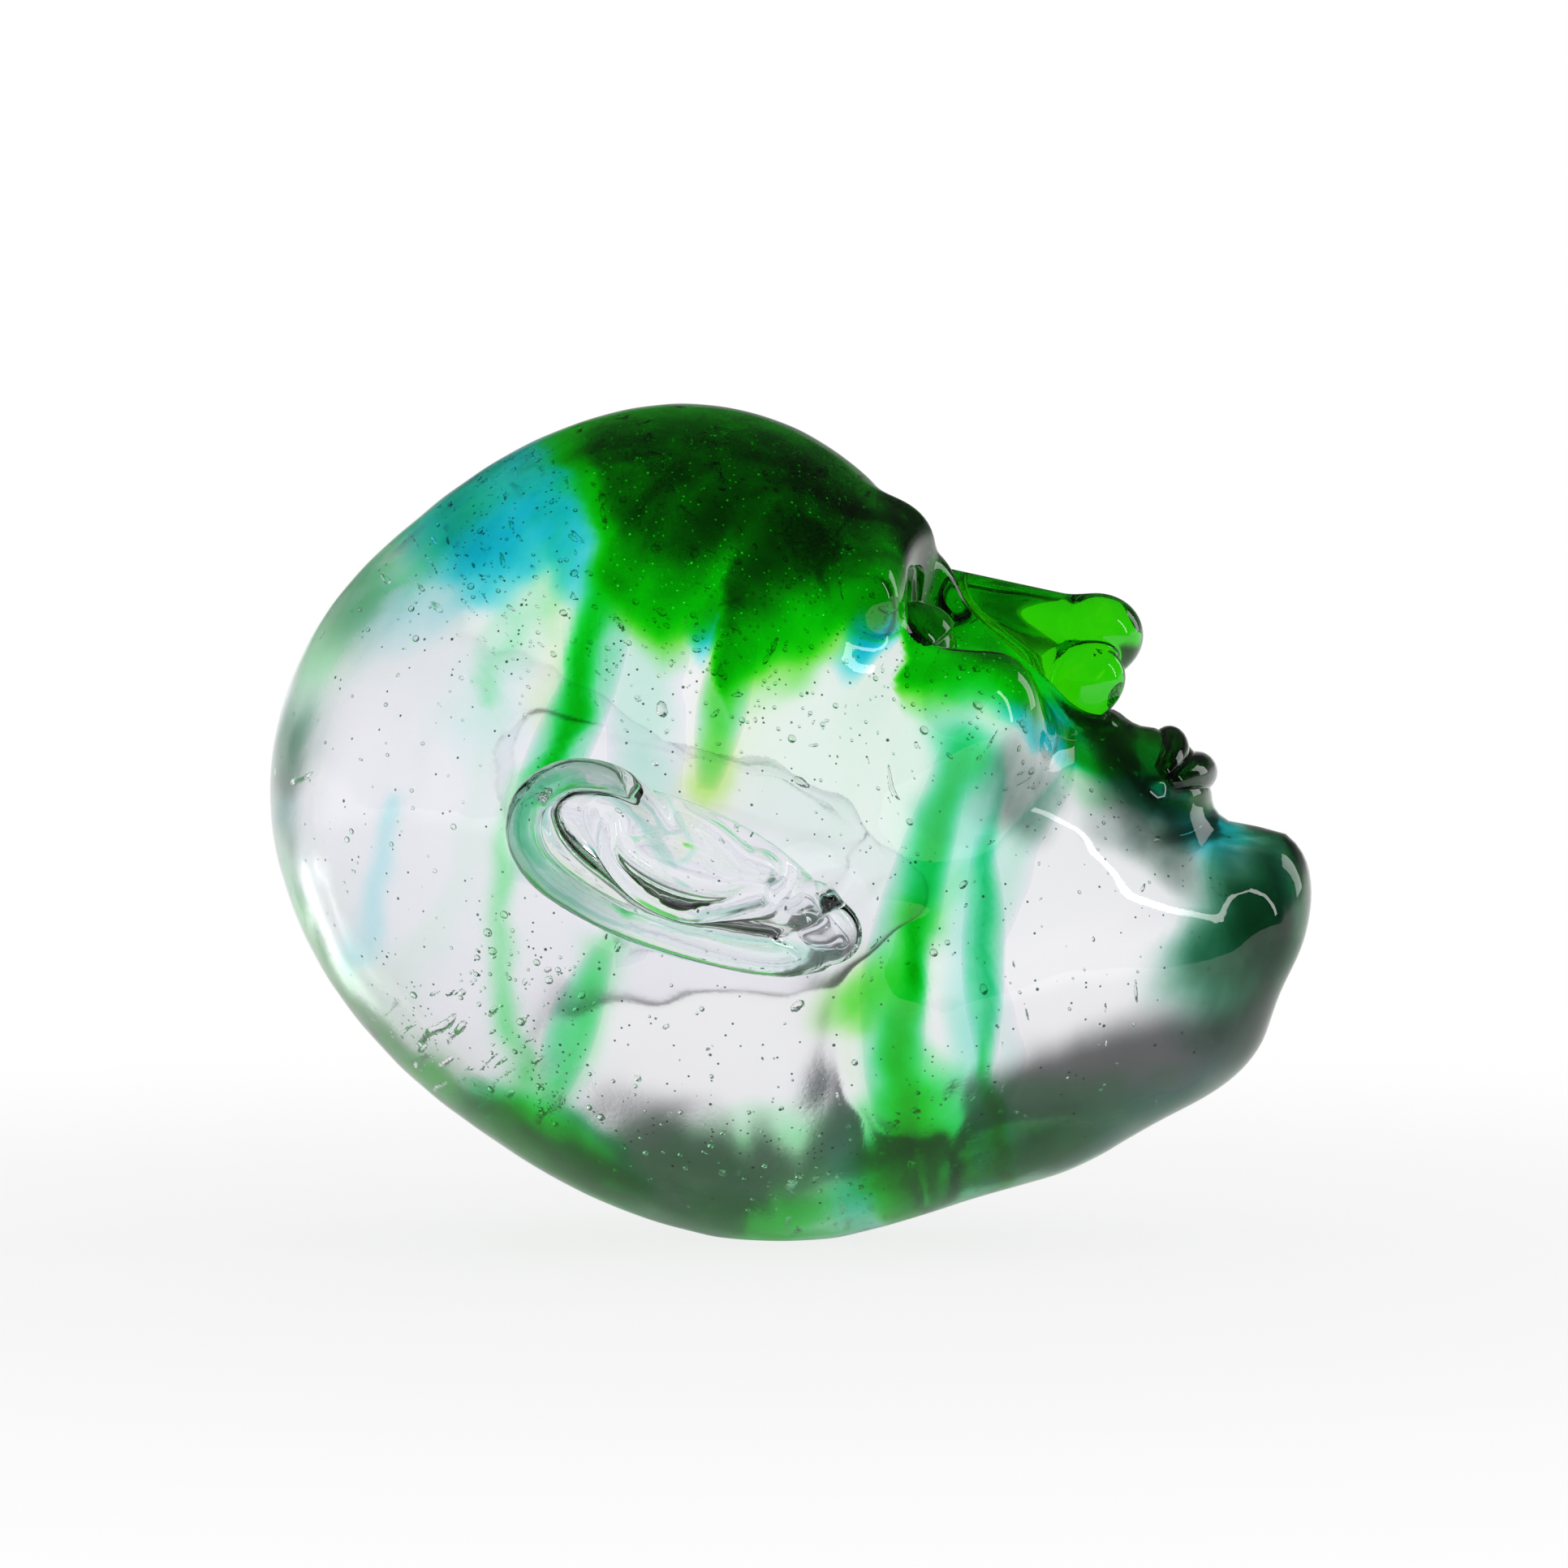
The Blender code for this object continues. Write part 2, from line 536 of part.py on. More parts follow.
def main():
    clear_scene()
    pieces = new_collection("glass_head")
    cutters = new_collection("cutters")
    head = bpy.data.objects.new("head_placement", None)
    pieces.objects.link(head)

    clear = glass("clear_crystal", (0.93, 0.94, 0.95))
    dark_green = glass("dark_green_glass", (0.010, 0.10, 0.012))
    turquoise = glass("turquoise_glass", (0.02, 0.55, 0.62))
    bright_green = glass("bright_green_glass", (0.20, 0.80, 0.02))
    teal = glass("teal_glass", (0.02, 0.30, 0.33))
    streak_green = glass("streak_green_glass", (0.05, 0.62, 0.12))

    seat = as_cutter(add_object("seat_form", head_ball(SEAT_GAP), cutters, head))
    form = as_cutter(add_object("head_form", head_ball(), cutters, head))
    body = add_object("crystal_body", head_ball(), pieces, head, clear)

    # Lean the head back and set it down, so that the flat lies at the ground
    lean = Matrix.Rotation(-LEAN_BACK, 3, "Y")
    lowest = min((lean @ v.co).z for v in body.data.vertices)
    head.rotation_euler = lean.to_euler()
    head.location.z = -lowest - FLAT_DEPTH
    boolean(body, add_ground(cutters))

    gather_seats = build_gathers(body, pieces, cutters, head, dark_green, turquoise)
    build_trails(body, form, gather_seats, pieces, cutters, head, streak_green)
    nose_seat = build_nose(pieces, cutters, head, bright_green, seat)
    build_lips(pieces, cutters, head, dark_green, teal, seat, nose_seat)
    for side in (1, -1):
        build_eyelid(side, pieces, head, dark_green, seat, nose_seat)
        build_ear(side, pieces, cutters, head, clear, seat)

    # Slide the head along X until its box is centred on the origin
    bpy.context.view_layer.update()
    graph = bpy.context.evaluated_depsgraph_get()
    shown = [o.evaluated_get(graph) for o in pieces.objects if o.type == "MESH"]
    across = [(o.matrix_world @ v.co).x for o in shown for v in o.data.vertices]
    head.location.x = -(min(across) + max(across)) / 2


main()
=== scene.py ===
"""The looks of the cast crystal head: clear glass with dyed trails, seeds and laid-on bits."""

import math

import bmesh
import bpy
import numpy as np
from mathutils import Matrix, Vector


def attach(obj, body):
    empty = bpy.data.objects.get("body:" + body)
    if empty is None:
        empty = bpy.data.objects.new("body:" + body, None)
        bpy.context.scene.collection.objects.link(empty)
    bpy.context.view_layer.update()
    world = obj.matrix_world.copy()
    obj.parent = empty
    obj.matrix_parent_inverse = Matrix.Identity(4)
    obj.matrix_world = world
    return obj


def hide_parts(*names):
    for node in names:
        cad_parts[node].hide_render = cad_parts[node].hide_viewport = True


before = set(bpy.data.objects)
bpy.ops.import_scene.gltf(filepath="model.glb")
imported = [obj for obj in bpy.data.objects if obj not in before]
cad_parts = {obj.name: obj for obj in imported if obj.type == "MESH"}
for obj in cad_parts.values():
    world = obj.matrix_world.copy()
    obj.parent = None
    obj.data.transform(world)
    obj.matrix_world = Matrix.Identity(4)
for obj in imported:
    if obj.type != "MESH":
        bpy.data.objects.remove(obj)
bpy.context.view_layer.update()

# The head is drawn upright, as forward, left and up, then leaned back and set down here
HEAD_PLACE = Vector((-0.0075774, 0.0, 0.0676591))
LEAN = Matrix.Rotation(math.radians(-48.0), 4, "Y")
ON_BASE = Matrix.Translation(HEAD_PLACE) @ LEAN
LET_IN = 0.0008  # how far the laid-on bits run on below the head's surface
LET_IN_LEFT_EAR = 0.0002  # less, as this ear is seen through the body

FORM_CENTRE = (0.006, 0.0, 0.0)
EYE_SPACING = 0.045
EYE_LINE = 0.0075
EYE_RADIUS = 0.0124
EYE_HEIGHT = 0.78  # of the eyeball over its width
EYE_OUT = 0.0060  # how far the lid stands out of its socket
MOUTH_LINE = -0.0455
EAR_PLACE = (-0.0032, 0.0128)
EAR_LEAN = math.radians(20.0)
EAR_TIP = math.radians(-14.0)
EAR_GROW = Vector((0.0655 / 0.067, 0.029 / 0.034, 1.0))  # the real length and width over the drawn ones
NOSE_GROW = np.array([0.0175, 0.027, 0.039]) / np.array([0.0170, 0.026, 0.036])
CAMERA_AIM = Vector((-0.0014, 0.0, 0.0865))
CAMERA_FAR = 1.002
CAMERA_TILT = math.radians(2.0)
LIP_POINTS = 17
RIBBON_RADIUS = 0.0062
RIBBON_THIN = 0.22  # of a ribbon's thickness over its width
RIBBON_DEPTH = 0.006
RIBBON_LEFT = 0.25  # the dye of the left ribbons over that of the right ones
SEED_TRIES = 60000
SEED_COUNT = 1700
SEED_RADIUS, SEED_LARGEST = 0.00019, 0.0008

SKULL = ((-0.002, 0, 0.019), (0.069, 0.058, 0.076))
MASSES = [  # centre, radii, and how softly it is merged
    ((-0.018, 0, 0.038), (0.0465, 0.051, 0.052), 0.012),  # crown
    ((0.024, 0, 0.040), (0.0475, 0.047, 0.045), 0.014),  # forehead
    ((-0.0115, 0, -0.0125), (0.049, 0.046, 0.055), 0.014),  # nape
    ((0.017, 0, -0.030), (0.050, 0.044, 0.054), 0.012),  # face
    ((0.026, 0, -0.051), (0.036, 0.036, 0.033), 0.014),  # under the jaw
    ((0.038, 0, -0.070), (0.021, 0.029, 0.0235), 0.012),  # throat
    ((0.045, 0.031, -0.009), (0.020, 0.016, 0.014), 0.012),  # cheekbones
    ((0.0525, 0, MOUTH_LINE + 0.001), (0.0215, 0.0240, 0.0185), 0.009),  # muzzle
    ((0.0600, 0, -0.0710), (0.0155, 0.0180, 0.0120), 0.008),  # chin
]
RIDGES = [  # start, end, the radii there, and how softly it is merged
    ((0.004, 0.037, -0.040), (0.056, 0.013, -0.073), 0.010, 0.0105, 0.013),  # jaw
    ((0.0665, 0.009, 0.0235), (0.0550, 0.035, 0.0210), 0.0070, 0.0062, 0.006),  # brow
]
SOCKET = ((0.0735, EYE_SPACING / 2, EYE_LINE - 0.001), (0.0175, 0.0165, 0.0120), 0.005)
TEMPLE = ((0.056, 0.063, 0.034), (0.018, 0.021, 0.025), 0.010)
CHIN_DIP = ((0.0815, -0.011, -0.0580), (0.0815, 0.011, -0.0580), 0.0080, 0.0080, 0.006)

# The ear is drawn flat: up its length, towards the face, and out from the head
HELIX = [
    (0.0036, 0.0034, 0.0050), (0.0100, 0.0092, 0.0052), (0.0180, 0.0122, 0.0058),
    (0.0265, 0.0095, 0.0075), (0.0312, 0.0020, 0.0098), (0.0296, -0.0062, 0.0114),
    (0.0232, -0.0115, 0.0122), (0.0120, -0.0143, 0.0122), (0.0000, -0.0150, 0.0114),
    (-0.0120, -0.0136, 0.0098), (-0.0225, -0.0108, 0.0076), (-0.0295, -0.0062, 0.0056),
]
HELIX_RADII = [
    0.0016, 0.0021, 0.0026, 0.0031, 0.0034, 0.0034, 0.0031, 0.0028, 0.0027, 0.0027, 0.0029, 0.0032,
]
FOLD = [
    (0.0165, 0.0040, 0.0062), (0.0130, -0.0024, 0.0084), (0.0064, -0.0064, 0.0096),
    (-0.0023, -0.0070, 0.0096), (-0.0080, -0.0038, 0.0088), (-0.0150, 0.0015, 0.0070),
]
FOLD_RADII = [0.0014, 0.0021, 0.0026, 0.0027, 0.0025, 0.0022]
FRONT_EDGE = [(0.0050, 0.0104, 0.0040), (-0.0030, 0.0088, 0.0058), (-0.0100, 0.0056, 0.0072)]
FRONT_RADII = [0.0015, 0.0021, 0.0026]
EAR_LUMPS = [  # centre, radii, and whether it is tipped with the plate
    ((0.0015, 0.0000, 0.0052), (0.0300, 0.0140, 0.0026), True),
    ((-0.0005, 0.0015, 0.0015), (0.0270, 0.0112, 0.0062), True),
    ((-0.0262, -0.0015, 0.0052), (0.0092, 0.0080, 0.0046), False),
    ((-0.0120, 0.0060, 0.0058), (0.0048, 0.0036, 0.0034), False),
    ((-0.0245, 0.0050, 0.0062), (0.0046, 0.0032, 0.0036), False),
]
EAR_HOLLOWS = [
    ((0.0020, 0.0010, 0.0105), (0.0125, 0.0062, 0.0066), True),
    ((-0.0262, -0.0010, 0.0110), (0.0062, 0.0050, 0.0028), False),
]


# Distances to simple shapes. Points are rows, and the distance is below zero inside.
def ellipsoid(p, centre, radii):
    q = (p - np.array(centre)) / np.array(radii)
    near = np.linalg.norm(q, axis=1)
    slope = np.maximum(np.linalg.norm(q / np.array(radii), axis=1), 1e-9)
    return near * (near - 1.0) / slope


def rod(p, start, end, start_radius, end_radius):
    a = np.array(start)
    run = np.array(end) - a
    t = np.clip((p - a) @ run / (run @ run), 0.0, 1.0)
    radius = start_radius + t * (end_radius - start_radius)
    return np.linalg.norm(p - a - t[:, None] * run, axis=1) - radius


def merge(first, second, reach):
    h = np.clip(0.5 + 0.5 * (second - first) / reach, 0.0, 1.0)
    return second * (1 - h) + first * h - reach * h * (1 - h)


def hollow(shape, cutter, reach):
    return -merge(-shape, cutter, reach)


def folded(points):
    return points * np.where(points[:, 1:2] < 0, [[1.0, -1.0, 1.0]], 1.0)


def head_distance(points):
    p = folded(points)
    form = ellipsoid(p, *SKULL)
    for centre, radii, reach in MASSES:
        form = merge(form, ellipsoid(p, centre, radii), reach)
    for start, end, start_radius, end_radius, reach in RIDGES:
        form = merge(form, rod(p, start, end, start_radius, end_radius), reach)
    for centre, radii, reach in (SOCKET, TEMPLE):
        form = hollow(form, ellipsoid(p, centre, radii), reach)
    return hollow(form, rod(p, *CHIN_DIP[:4]), CHIN_DIP[4])


def surface_points(directions, distance, centre, reach=0.16):
    """The points where rays from the centre meet the surface."""
    low = np.zeros(len(directions))
    high = np.full(len(directions), reach)
    for _ in range(30):
        middle = (low + high) / 2
        inside = distance(centre + directions * middle[:, None]) < 0
        low = np.where(inside, middle, low)
        high = np.where(inside, high, middle)
    return centre + directions * ((low + high) / 2)[:, None]


def shaped_ball(distance, centre, detail, reach=0.16):
    """A ball of triangles whose vertices are pushed out to the surface of a shape."""
    bm = bmesh.new()
    bmesh.ops.create_icosphere(bm, subdivisions=detail, radius=1.0)
    directions = np.array([v.co.normalized() for v in bm.verts])
    points = surface_points(directions, distance, np.array(centre), reach)
    for vert, point in zip(bm.verts, points):
        vert.co = point
    return bm


def on_head(start, direction):
    """Where a ray from inside the head meets its surface, and the outward normal there."""
    start = np.array([start], float)
    point = surface_points(np.array([direction], float), head_distance, start)[0]
    offsets = np.eye(3) * 0.0005
    slope = head_distance(point + offsets) - head_distance(point - offsets)
    return Vector(point), Vector(slope).normalized()


def ripple(points, length, seed):
    """A smooth random field with waves of about this length, mostly between -1 and 1."""
    count = 10
    random = np.random.default_rng(seed)
    ways = random.normal(size=(count, 3))
    ways *= (random.uniform(0.7, 1.4, count) / np.linalg.norm(ways, axis=1))[:, None]
    starts = random.uniform(0, 2 * math.pi, count)
    return np.sin(points @ ways.T * 2 * math.pi / length + starts).sum(1) / math.sqrt(count)


def soft_step(low, high, value):
    t = np.clip((value - low) / (high - low), 0.0, 1.0)
    return t * t * (3 - 2 * t)


NOSE_ROOT = np.array(on_head((0.0, 0.0, EYE_LINE), (1.0, 0.0, 0.0))[0])


def nose_form(points):
    p = folded((points - NOSE_ROOT) / NOSE_GROW)
    form = rod(p, (-0.006, 0, 0.009), (0.0110, 0, -0.0215), 0.0050, 0.0062)
    form = merge(form, rod(p, (-0.011, 0, 0.004), (-0.001, 0, -0.024), 0.0075, 0.0105), 0.005)
    form = merge(form, ellipsoid(p, (0.0130, 0, -0.0240), (0.0070, 0.0080, 0.0068)), 0.004)
    form = merge(form, ellipsoid(p, (0.0040, 0.0090, -0.0275), (0.0072, 0.0048, 0.0056)), 0.002)
    return hollow(form, ellipsoid(p, (0.0060, 0.0052, -0.0335), (0.0046, 0.0028, 0.0040)), 0.001)


def lip_line(height, rise, out):
    """A lip's middle line: across the mouth, lifted in the middle and drawn back at the corners."""
    line = []
    for along in np.linspace(-1.0, 1.0, LIP_POINTS):
        bow = rise * math.cos(1.5 * math.pi * along) * (1 - along**2)
        up = MOUTH_LINE + height * (1 - along**2) ** 0.7 + bow + 0.0014 * along**2
        point, normal = on_head((0.0, along * 0.020, up), (1.0, 0.0, 0.0))
        line.append(np.array(point + normal * out * (1 - along**2)))
    return line


def lip_distance(points, line, radii):
    form = np.full(len(points), 1.0)
    for a, b, ra, rb in zip(line, line[1:], radii, radii[1:]):
        form = np.minimum(form, rod(points, a, b, ra, rb))
    return form


LIP_FULL = 0.16 + 0.84 * np.sqrt(1 - np.linspace(-1.0, 1.0, LIP_POINTS) ** 2)
LIPS = {
    "upper_lip": (lip_line(0.0033, 0.0007, -0.0004), 0.0033 * LIP_FULL),
    "lower_lip": (lip_line(-0.0038, 0.0, -0.0004), 0.0040 * LIP_FULL),
}


def body_distance(points):
    """The head's form, with a soft collar where the nose and the lips are melted on."""
    form = head_distance(points) - 0.0016 * np.exp(-((nose_form(points) - 0.0006) / 0.0028) ** 2)
    for line, radii in LIPS.values():
        form = form - 0.0008 * np.exp(-((lip_distance(points, line[::2], radii[::2]) / 0.0020) ** 2))
    return form + 0.00010 * ripple(points, 0.030, 21) + 0.00003 * ripple(points, 0.009, 22)


# Making pieces
def tube(bm, points, radii, sides, flat=None):
    """A closed tube along the points. With flat, it is that much thinner along the points' normals."""
    points = [Vector(p) for p in points]
    ring = bmesh.ops.create_circle(bm, segments=sides, radius=1.0, cap_ends=False)["verts"]
    base = [v.co.copy() for v in ring]
    side = None
    first = ring
    for i, (point, radius) in enumerate(zip(points, radii)):
        along = (points[min(i + 1, len(points) - 1)] - points[max(i - 1, 0)]).normalized()
        out = Vector(flat[1][i]) if flat else (side or along.orthogonal())
        out = (out - along * out.dot(along)).normalized()
        side = out
        turn = Matrix((along.cross(out), out, along)).transposed()
        thin = Vector((radius, radius * (flat[0] if flat else 1.0), 1.0))
        if i:
            grown = bmesh.ops.extrude_edge_only(bm, edges=rim)["geom"]
            ring = [g for g in grown if isinstance(g, bmesh.types.BMVert)]
            nearest = {}
            for v in ring:
                link = [e.other_vert(v) for e in v.link_edges if e.other_vert(v) in order]
                nearest[order[link[0]]] = v
            ring = [nearest[k] for k in range(sides)]
        for start, v in zip(base, ring):
            v.co = point + turn @ Vector((start.x * thin.x, start.y * thin.y, 0.0))
        order = {v: k for k, v in enumerate(ring)}
        rim = [e for e in {e for v in ring for e in v.link_edges} if all(v in order for v in e.verts)]
    for end in (first, ring):
        bmesh.ops.contextual_create(bm, geom=end)
    bmesh.ops.recalc_face_normals(bm, faces=bm.faces)
    return bm


def smooth_line(points, count):
    """Evenly spaced points along a smooth curve through the given ones."""
    given = [Vector(p) for p in points]
    ends = [given[0] * 2 - given[1], *given, given[-1] * 2 - given[-2]]
    line = []
    for a, b, c, d in zip(ends, ends[1:], ends[2:], ends[3:]):
        for step in range(12):
            t = step / 12
            bend = (2 * a - 5 * b + 4 * c - d) * t**2 + (3 * b - a - 3 * c + d) * t**3
            line.append(b + 0.5 * ((c - a) * t + bend))
    line.append(given[-1])
    lengths = np.cumsum([0.0] + [(b - a).length for a, b in zip(line, line[1:])])
    wanted = np.linspace(0.0, lengths[-1], count)
    return np.array([np.interp(wanted, lengths, [p[axis] for p in line]) for axis in range(3)]).T


def new_object(name, bm):
    mesh = bpy.data.meshes.new(name)
    bm.to_mesh(mesh)
    bm.free()
    made = bpy.data.objects.new(name, mesh)
    bpy.context.scene.collection.objects.link(made)
    return made


def fused(bm, voxel, smooth, cutters=()):
    """Overlapping closed shapes as one skin, with the cutters taken out of it."""
    solid = new_object("fusing", bm)
    helpers = []

    def fuse():
        step = solid.modifiers.new("fuse", "REMESH")
        step.mode = "VOXEL"
        step.voxel_size = voxel

    fuse()
    for cutter in cutters:
        helpers.append(new_object("cutting", cutter))
        step = solid.modifiers.new("cut", "BOOLEAN")
        step.object = helpers[-1]
        step.operation = "DIFFERENCE"
        step.solver = "EXACT"
    if cutters:
        fuse()
    step = solid.modifiers.new("soften", "SMOOTH")
    step.factor = 0.5
    step.iterations = smooth
    mesh = bpy.data.meshes.new_from_object(solid.evaluated_get(bpy.context.evaluated_depsgraph_get()))
    made = bmesh.new()
    made.from_mesh(mesh)
    for helper in [solid, *helpers]:
        bpy.data.objects.remove(helper)
    return made


def sink_to_head(bm, depth=LET_IN):
    """Whatever lies deeper in the head than the bit is let in is lifted to that depth."""
    places = np.array([v.co for v in bm.verts])
    offsets = np.eye(3) * 0.0003
    for _ in range(6):
        deep = -depth - body_distance(places)
        if deep.max() < 1e-5:
            break
        slope = np.array([body_distance(places + o) - body_distance(places - o) for o in offsets]).T
        slope /= np.maximum(np.linalg.norm(slope, axis=1), 1e-9)[:, None]
        places += slope * np.clip(deep, 0, 0.002)[:, None]
    for vert, place in zip(bm.verts, places):
        vert.co = place


def paint(mesh, name, amounts):
    layer = mesh.attributes.new(name, "FLOAT", "POINT")
    layer.data.foreach_set("value", np.asarray(amounts, np.float32))


def add_piece(name, bm, material, replaced, leaned=True):
    """The bmesh as a piece of the object, set down on the base, in place of the CAD nodes."""
    if leaned:
        bmesh.ops.transform(bm, matrix=ON_BASE, verts=bm.verts)
    piece = new_object(name, bm)
    piece.data.shade_smooth()
    piece.data.materials.append(material)
    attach(piece, "root")
    if replaced:
        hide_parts(*replaced)
    return piece


# Nodes
def new_material(name):
    material = bpy.data.materials.new(name)
    material.use_nodes = True
    return material, material.node_tree.nodes, material.node_tree.links


def fed(nodes, links, kind, operation, values):
    node = nodes.new(kind)
    node.operation = operation
    for socket, value in zip(node.inputs, values):
        if isinstance(value, (int, float, tuple)):
            socket.default_value = value
        else:
            links.new(value, socket)
    return node.outputs["Value"] if operation == "LENGTH" else node.outputs[0]


def maths(nodes, links, operation, *values):
    return fed(nodes, links, "ShaderNodeMath", operation, values)


def vectors(nodes, links, operation, *values):
    return fed(nodes, links, "ShaderNodeVectorMath", operation, values)


def noise(nodes, links, place, scale, detail=2.0, stretch=None, turn=0.0, swirl=0.0):
    if stretch:
        spin = nodes.new("ShaderNodeVectorRotate")
        spin.rotation_type = "Y_AXIS"
        spin.inputs["Angle"].default_value = turn
        links.new(place, spin.inputs["Vector"])
        place = vectors(nodes, links, "MULTIPLY", spin.outputs[0], stretch)
    node = nodes.new("ShaderNodeTexNoise")
    node.inputs["Scale"].default_value = scale
    node.inputs["Detail"].default_value = detail
    node.inputs["Distortion"].default_value = swirl
    links.new(place, node.inputs["Vector"])
    return node.outputs["Fac"]


def new_group(name, inputs, outputs):
    group = bpy.data.node_groups.new(name, "ShaderNodeTree")
    for label, value in inputs:
        socket = group.interface.new_socket(label, in_out="INPUT", socket_type="NodeSocketFloat")
        socket.default_value = value
    for label, kind in outputs:
        group.interface.new_socket(label, in_out="OUTPUT", socket_type=kind)
    nodes = group.nodes
    return group, nodes, group.links, nodes.new("NodeGroupInput"), nodes.new("NodeGroupOutput")


def place_group(nodes, links, group, **values):
    node = nodes.new("ShaderNodeGroup")
    node.node_tree = group
    for label, value in values.items():
        if isinstance(value, (int, float)):
            node.inputs[label].default_value = value
        else:
            links.new(value, node.inputs[label])
    return node.outputs[0]


# What each dye lets through at a thickness of one, as red, green and blue
DYES = {
    "Green": (0.018, 0.76, 0.05),
    "Lime": (0.34, 0.80, 0.01),
    "Blue": (0.004, 0.50, 0.69),
    # Smoke is smoky glass, and is also used for painted shade on the body and on the right ear
    "Smoke": (0.33, 0.40, 0.37),
}
CLEAR = (0.970, 0.968, 0.985)


def dye_group():
    """Thicknesses of dye to a colour. It is squared, as the shader takes its root at each surface."""
    group, nodes, links, given, made = new_group(
        "glass_dyes", [(label, 0.0) for label in DYES], [("Color", "NodeSocketColor")]
    )
    start = nodes.new("ShaderNodeCombineXYZ")
    for socket, part in zip(start.inputs, CLEAR):
        socket.default_value = 2 * math.log(part)
    total = start.outputs[0]
    for label, dye in DYES.items():
        depth = nodes.new("ShaderNodeVectorMath")
        depth.operation = "MULTIPLY_ADD"
        depth.inputs[0].default_value = [2 * math.log(part) for part in dye]
        links.new(given.outputs[label], depth.inputs[1])
        links.new(total, depth.inputs[2])
        total = depth.outputs[0]
    split = nodes.new("ShaderNodeSeparateXYZ")
    links.new(total, split.inputs[0])
    join = nodes.new("ShaderNodeCombineColor")
    for axis, channel in (("X", "Red"), ("Y", "Green"), ("Z", "Blue")):
        links.new(maths(nodes, links, "POWER", math.e, split.outputs[axis]), join.inputs[channel])
    links.new(join.outputs[0], made.inputs["Color"])
    return group


def seed_group():
    """Tiny specks for the smallest seeds, where their light is painted: 1 inside a speck, and 0 outside."""
    group, nodes, links, given, made = new_group(
        "seed_specks", [("Scale", 400.0), ("Size", 0.1), ("Share", 0.5)], [("Mask", "NodeSocketFloat")]
    )
    where = nodes.new("ShaderNodeTexCoord")
    cells = nodes.new("ShaderNodeTexVoronoi")
    links.new(where.outputs["Object"], cells.inputs["Vector"])
    links.new(given.outputs["Scale"], cells.inputs["Scale"])
    near = nodes.new("ShaderNodeMapRange")
    links.new(cells.outputs["Distance"], near.inputs["Value"])
    links.new(given.outputs["Size"], near.inputs["From Min"])
    near.inputs["From Max"].default_value = 0.04
    tint = nodes.new("ShaderNodeSeparateColor")
    links.new(cells.outputs["Color"], tint.inputs[0])
    kept = maths(nodes, links, "LESS_THAN", tint.outputs[0], given.outputs["Share"])
    links.new(maths(nodes, links, "MULTIPLY", near.outputs[0], kept), made.inputs["Mask"])
    return group


def skin_group():
    """The fire-polished skin: slow waves and a fine grain, as a height in metres."""
    group, nodes, links, given, made = new_group(
        "glass_skin", [("Waves", 0.00006), ("Grain", 0.000004)], [("Height", "NodeSocketFloat")]
    )
    where = nodes.new("ShaderNodeTexCoord").outputs["Object"]
    waves, grain = noise(nodes, links, where, 45.0, 1.0), noise(nodes, links, where, 1100.0, 2.0)
    waves = maths(nodes, links, "MULTIPLY", waves, given.outputs["Waves"])
    grain = maths(nodes, links, "MULTIPLY", grain, given.outputs["Grain"])
    links.new(maths(nodes, links, "ADD", waves, grain), made.inputs["Height"])
    return group


def attribute(nodes, name):
    node = nodes.new("ShaderNodeAttribute")
    node.attribute_name = name
    return node.outputs["Fac"]


def bump(nodes, links, height, shader):
    node = nodes.new("ShaderNodeBump")
    node.inputs["Distance"].default_value = 1.0
    node.inputs["Strength"].default_value = 1.0
    links.new(height, node.inputs["Height"])
    links.new(node.outputs[0], shader.inputs["Normal"])


def glass_shader(nodes, ior=1.5):
    shader = nodes["Principled BSDF"]
    shader.inputs["Roughness"].default_value = 0.0
    shader.inputs["Metallic"].default_value = 0.0
    shader.inputs["Transmission Weight"].default_value = 1.0
    shader.inputs["IOR"].default_value = ior
    return shader


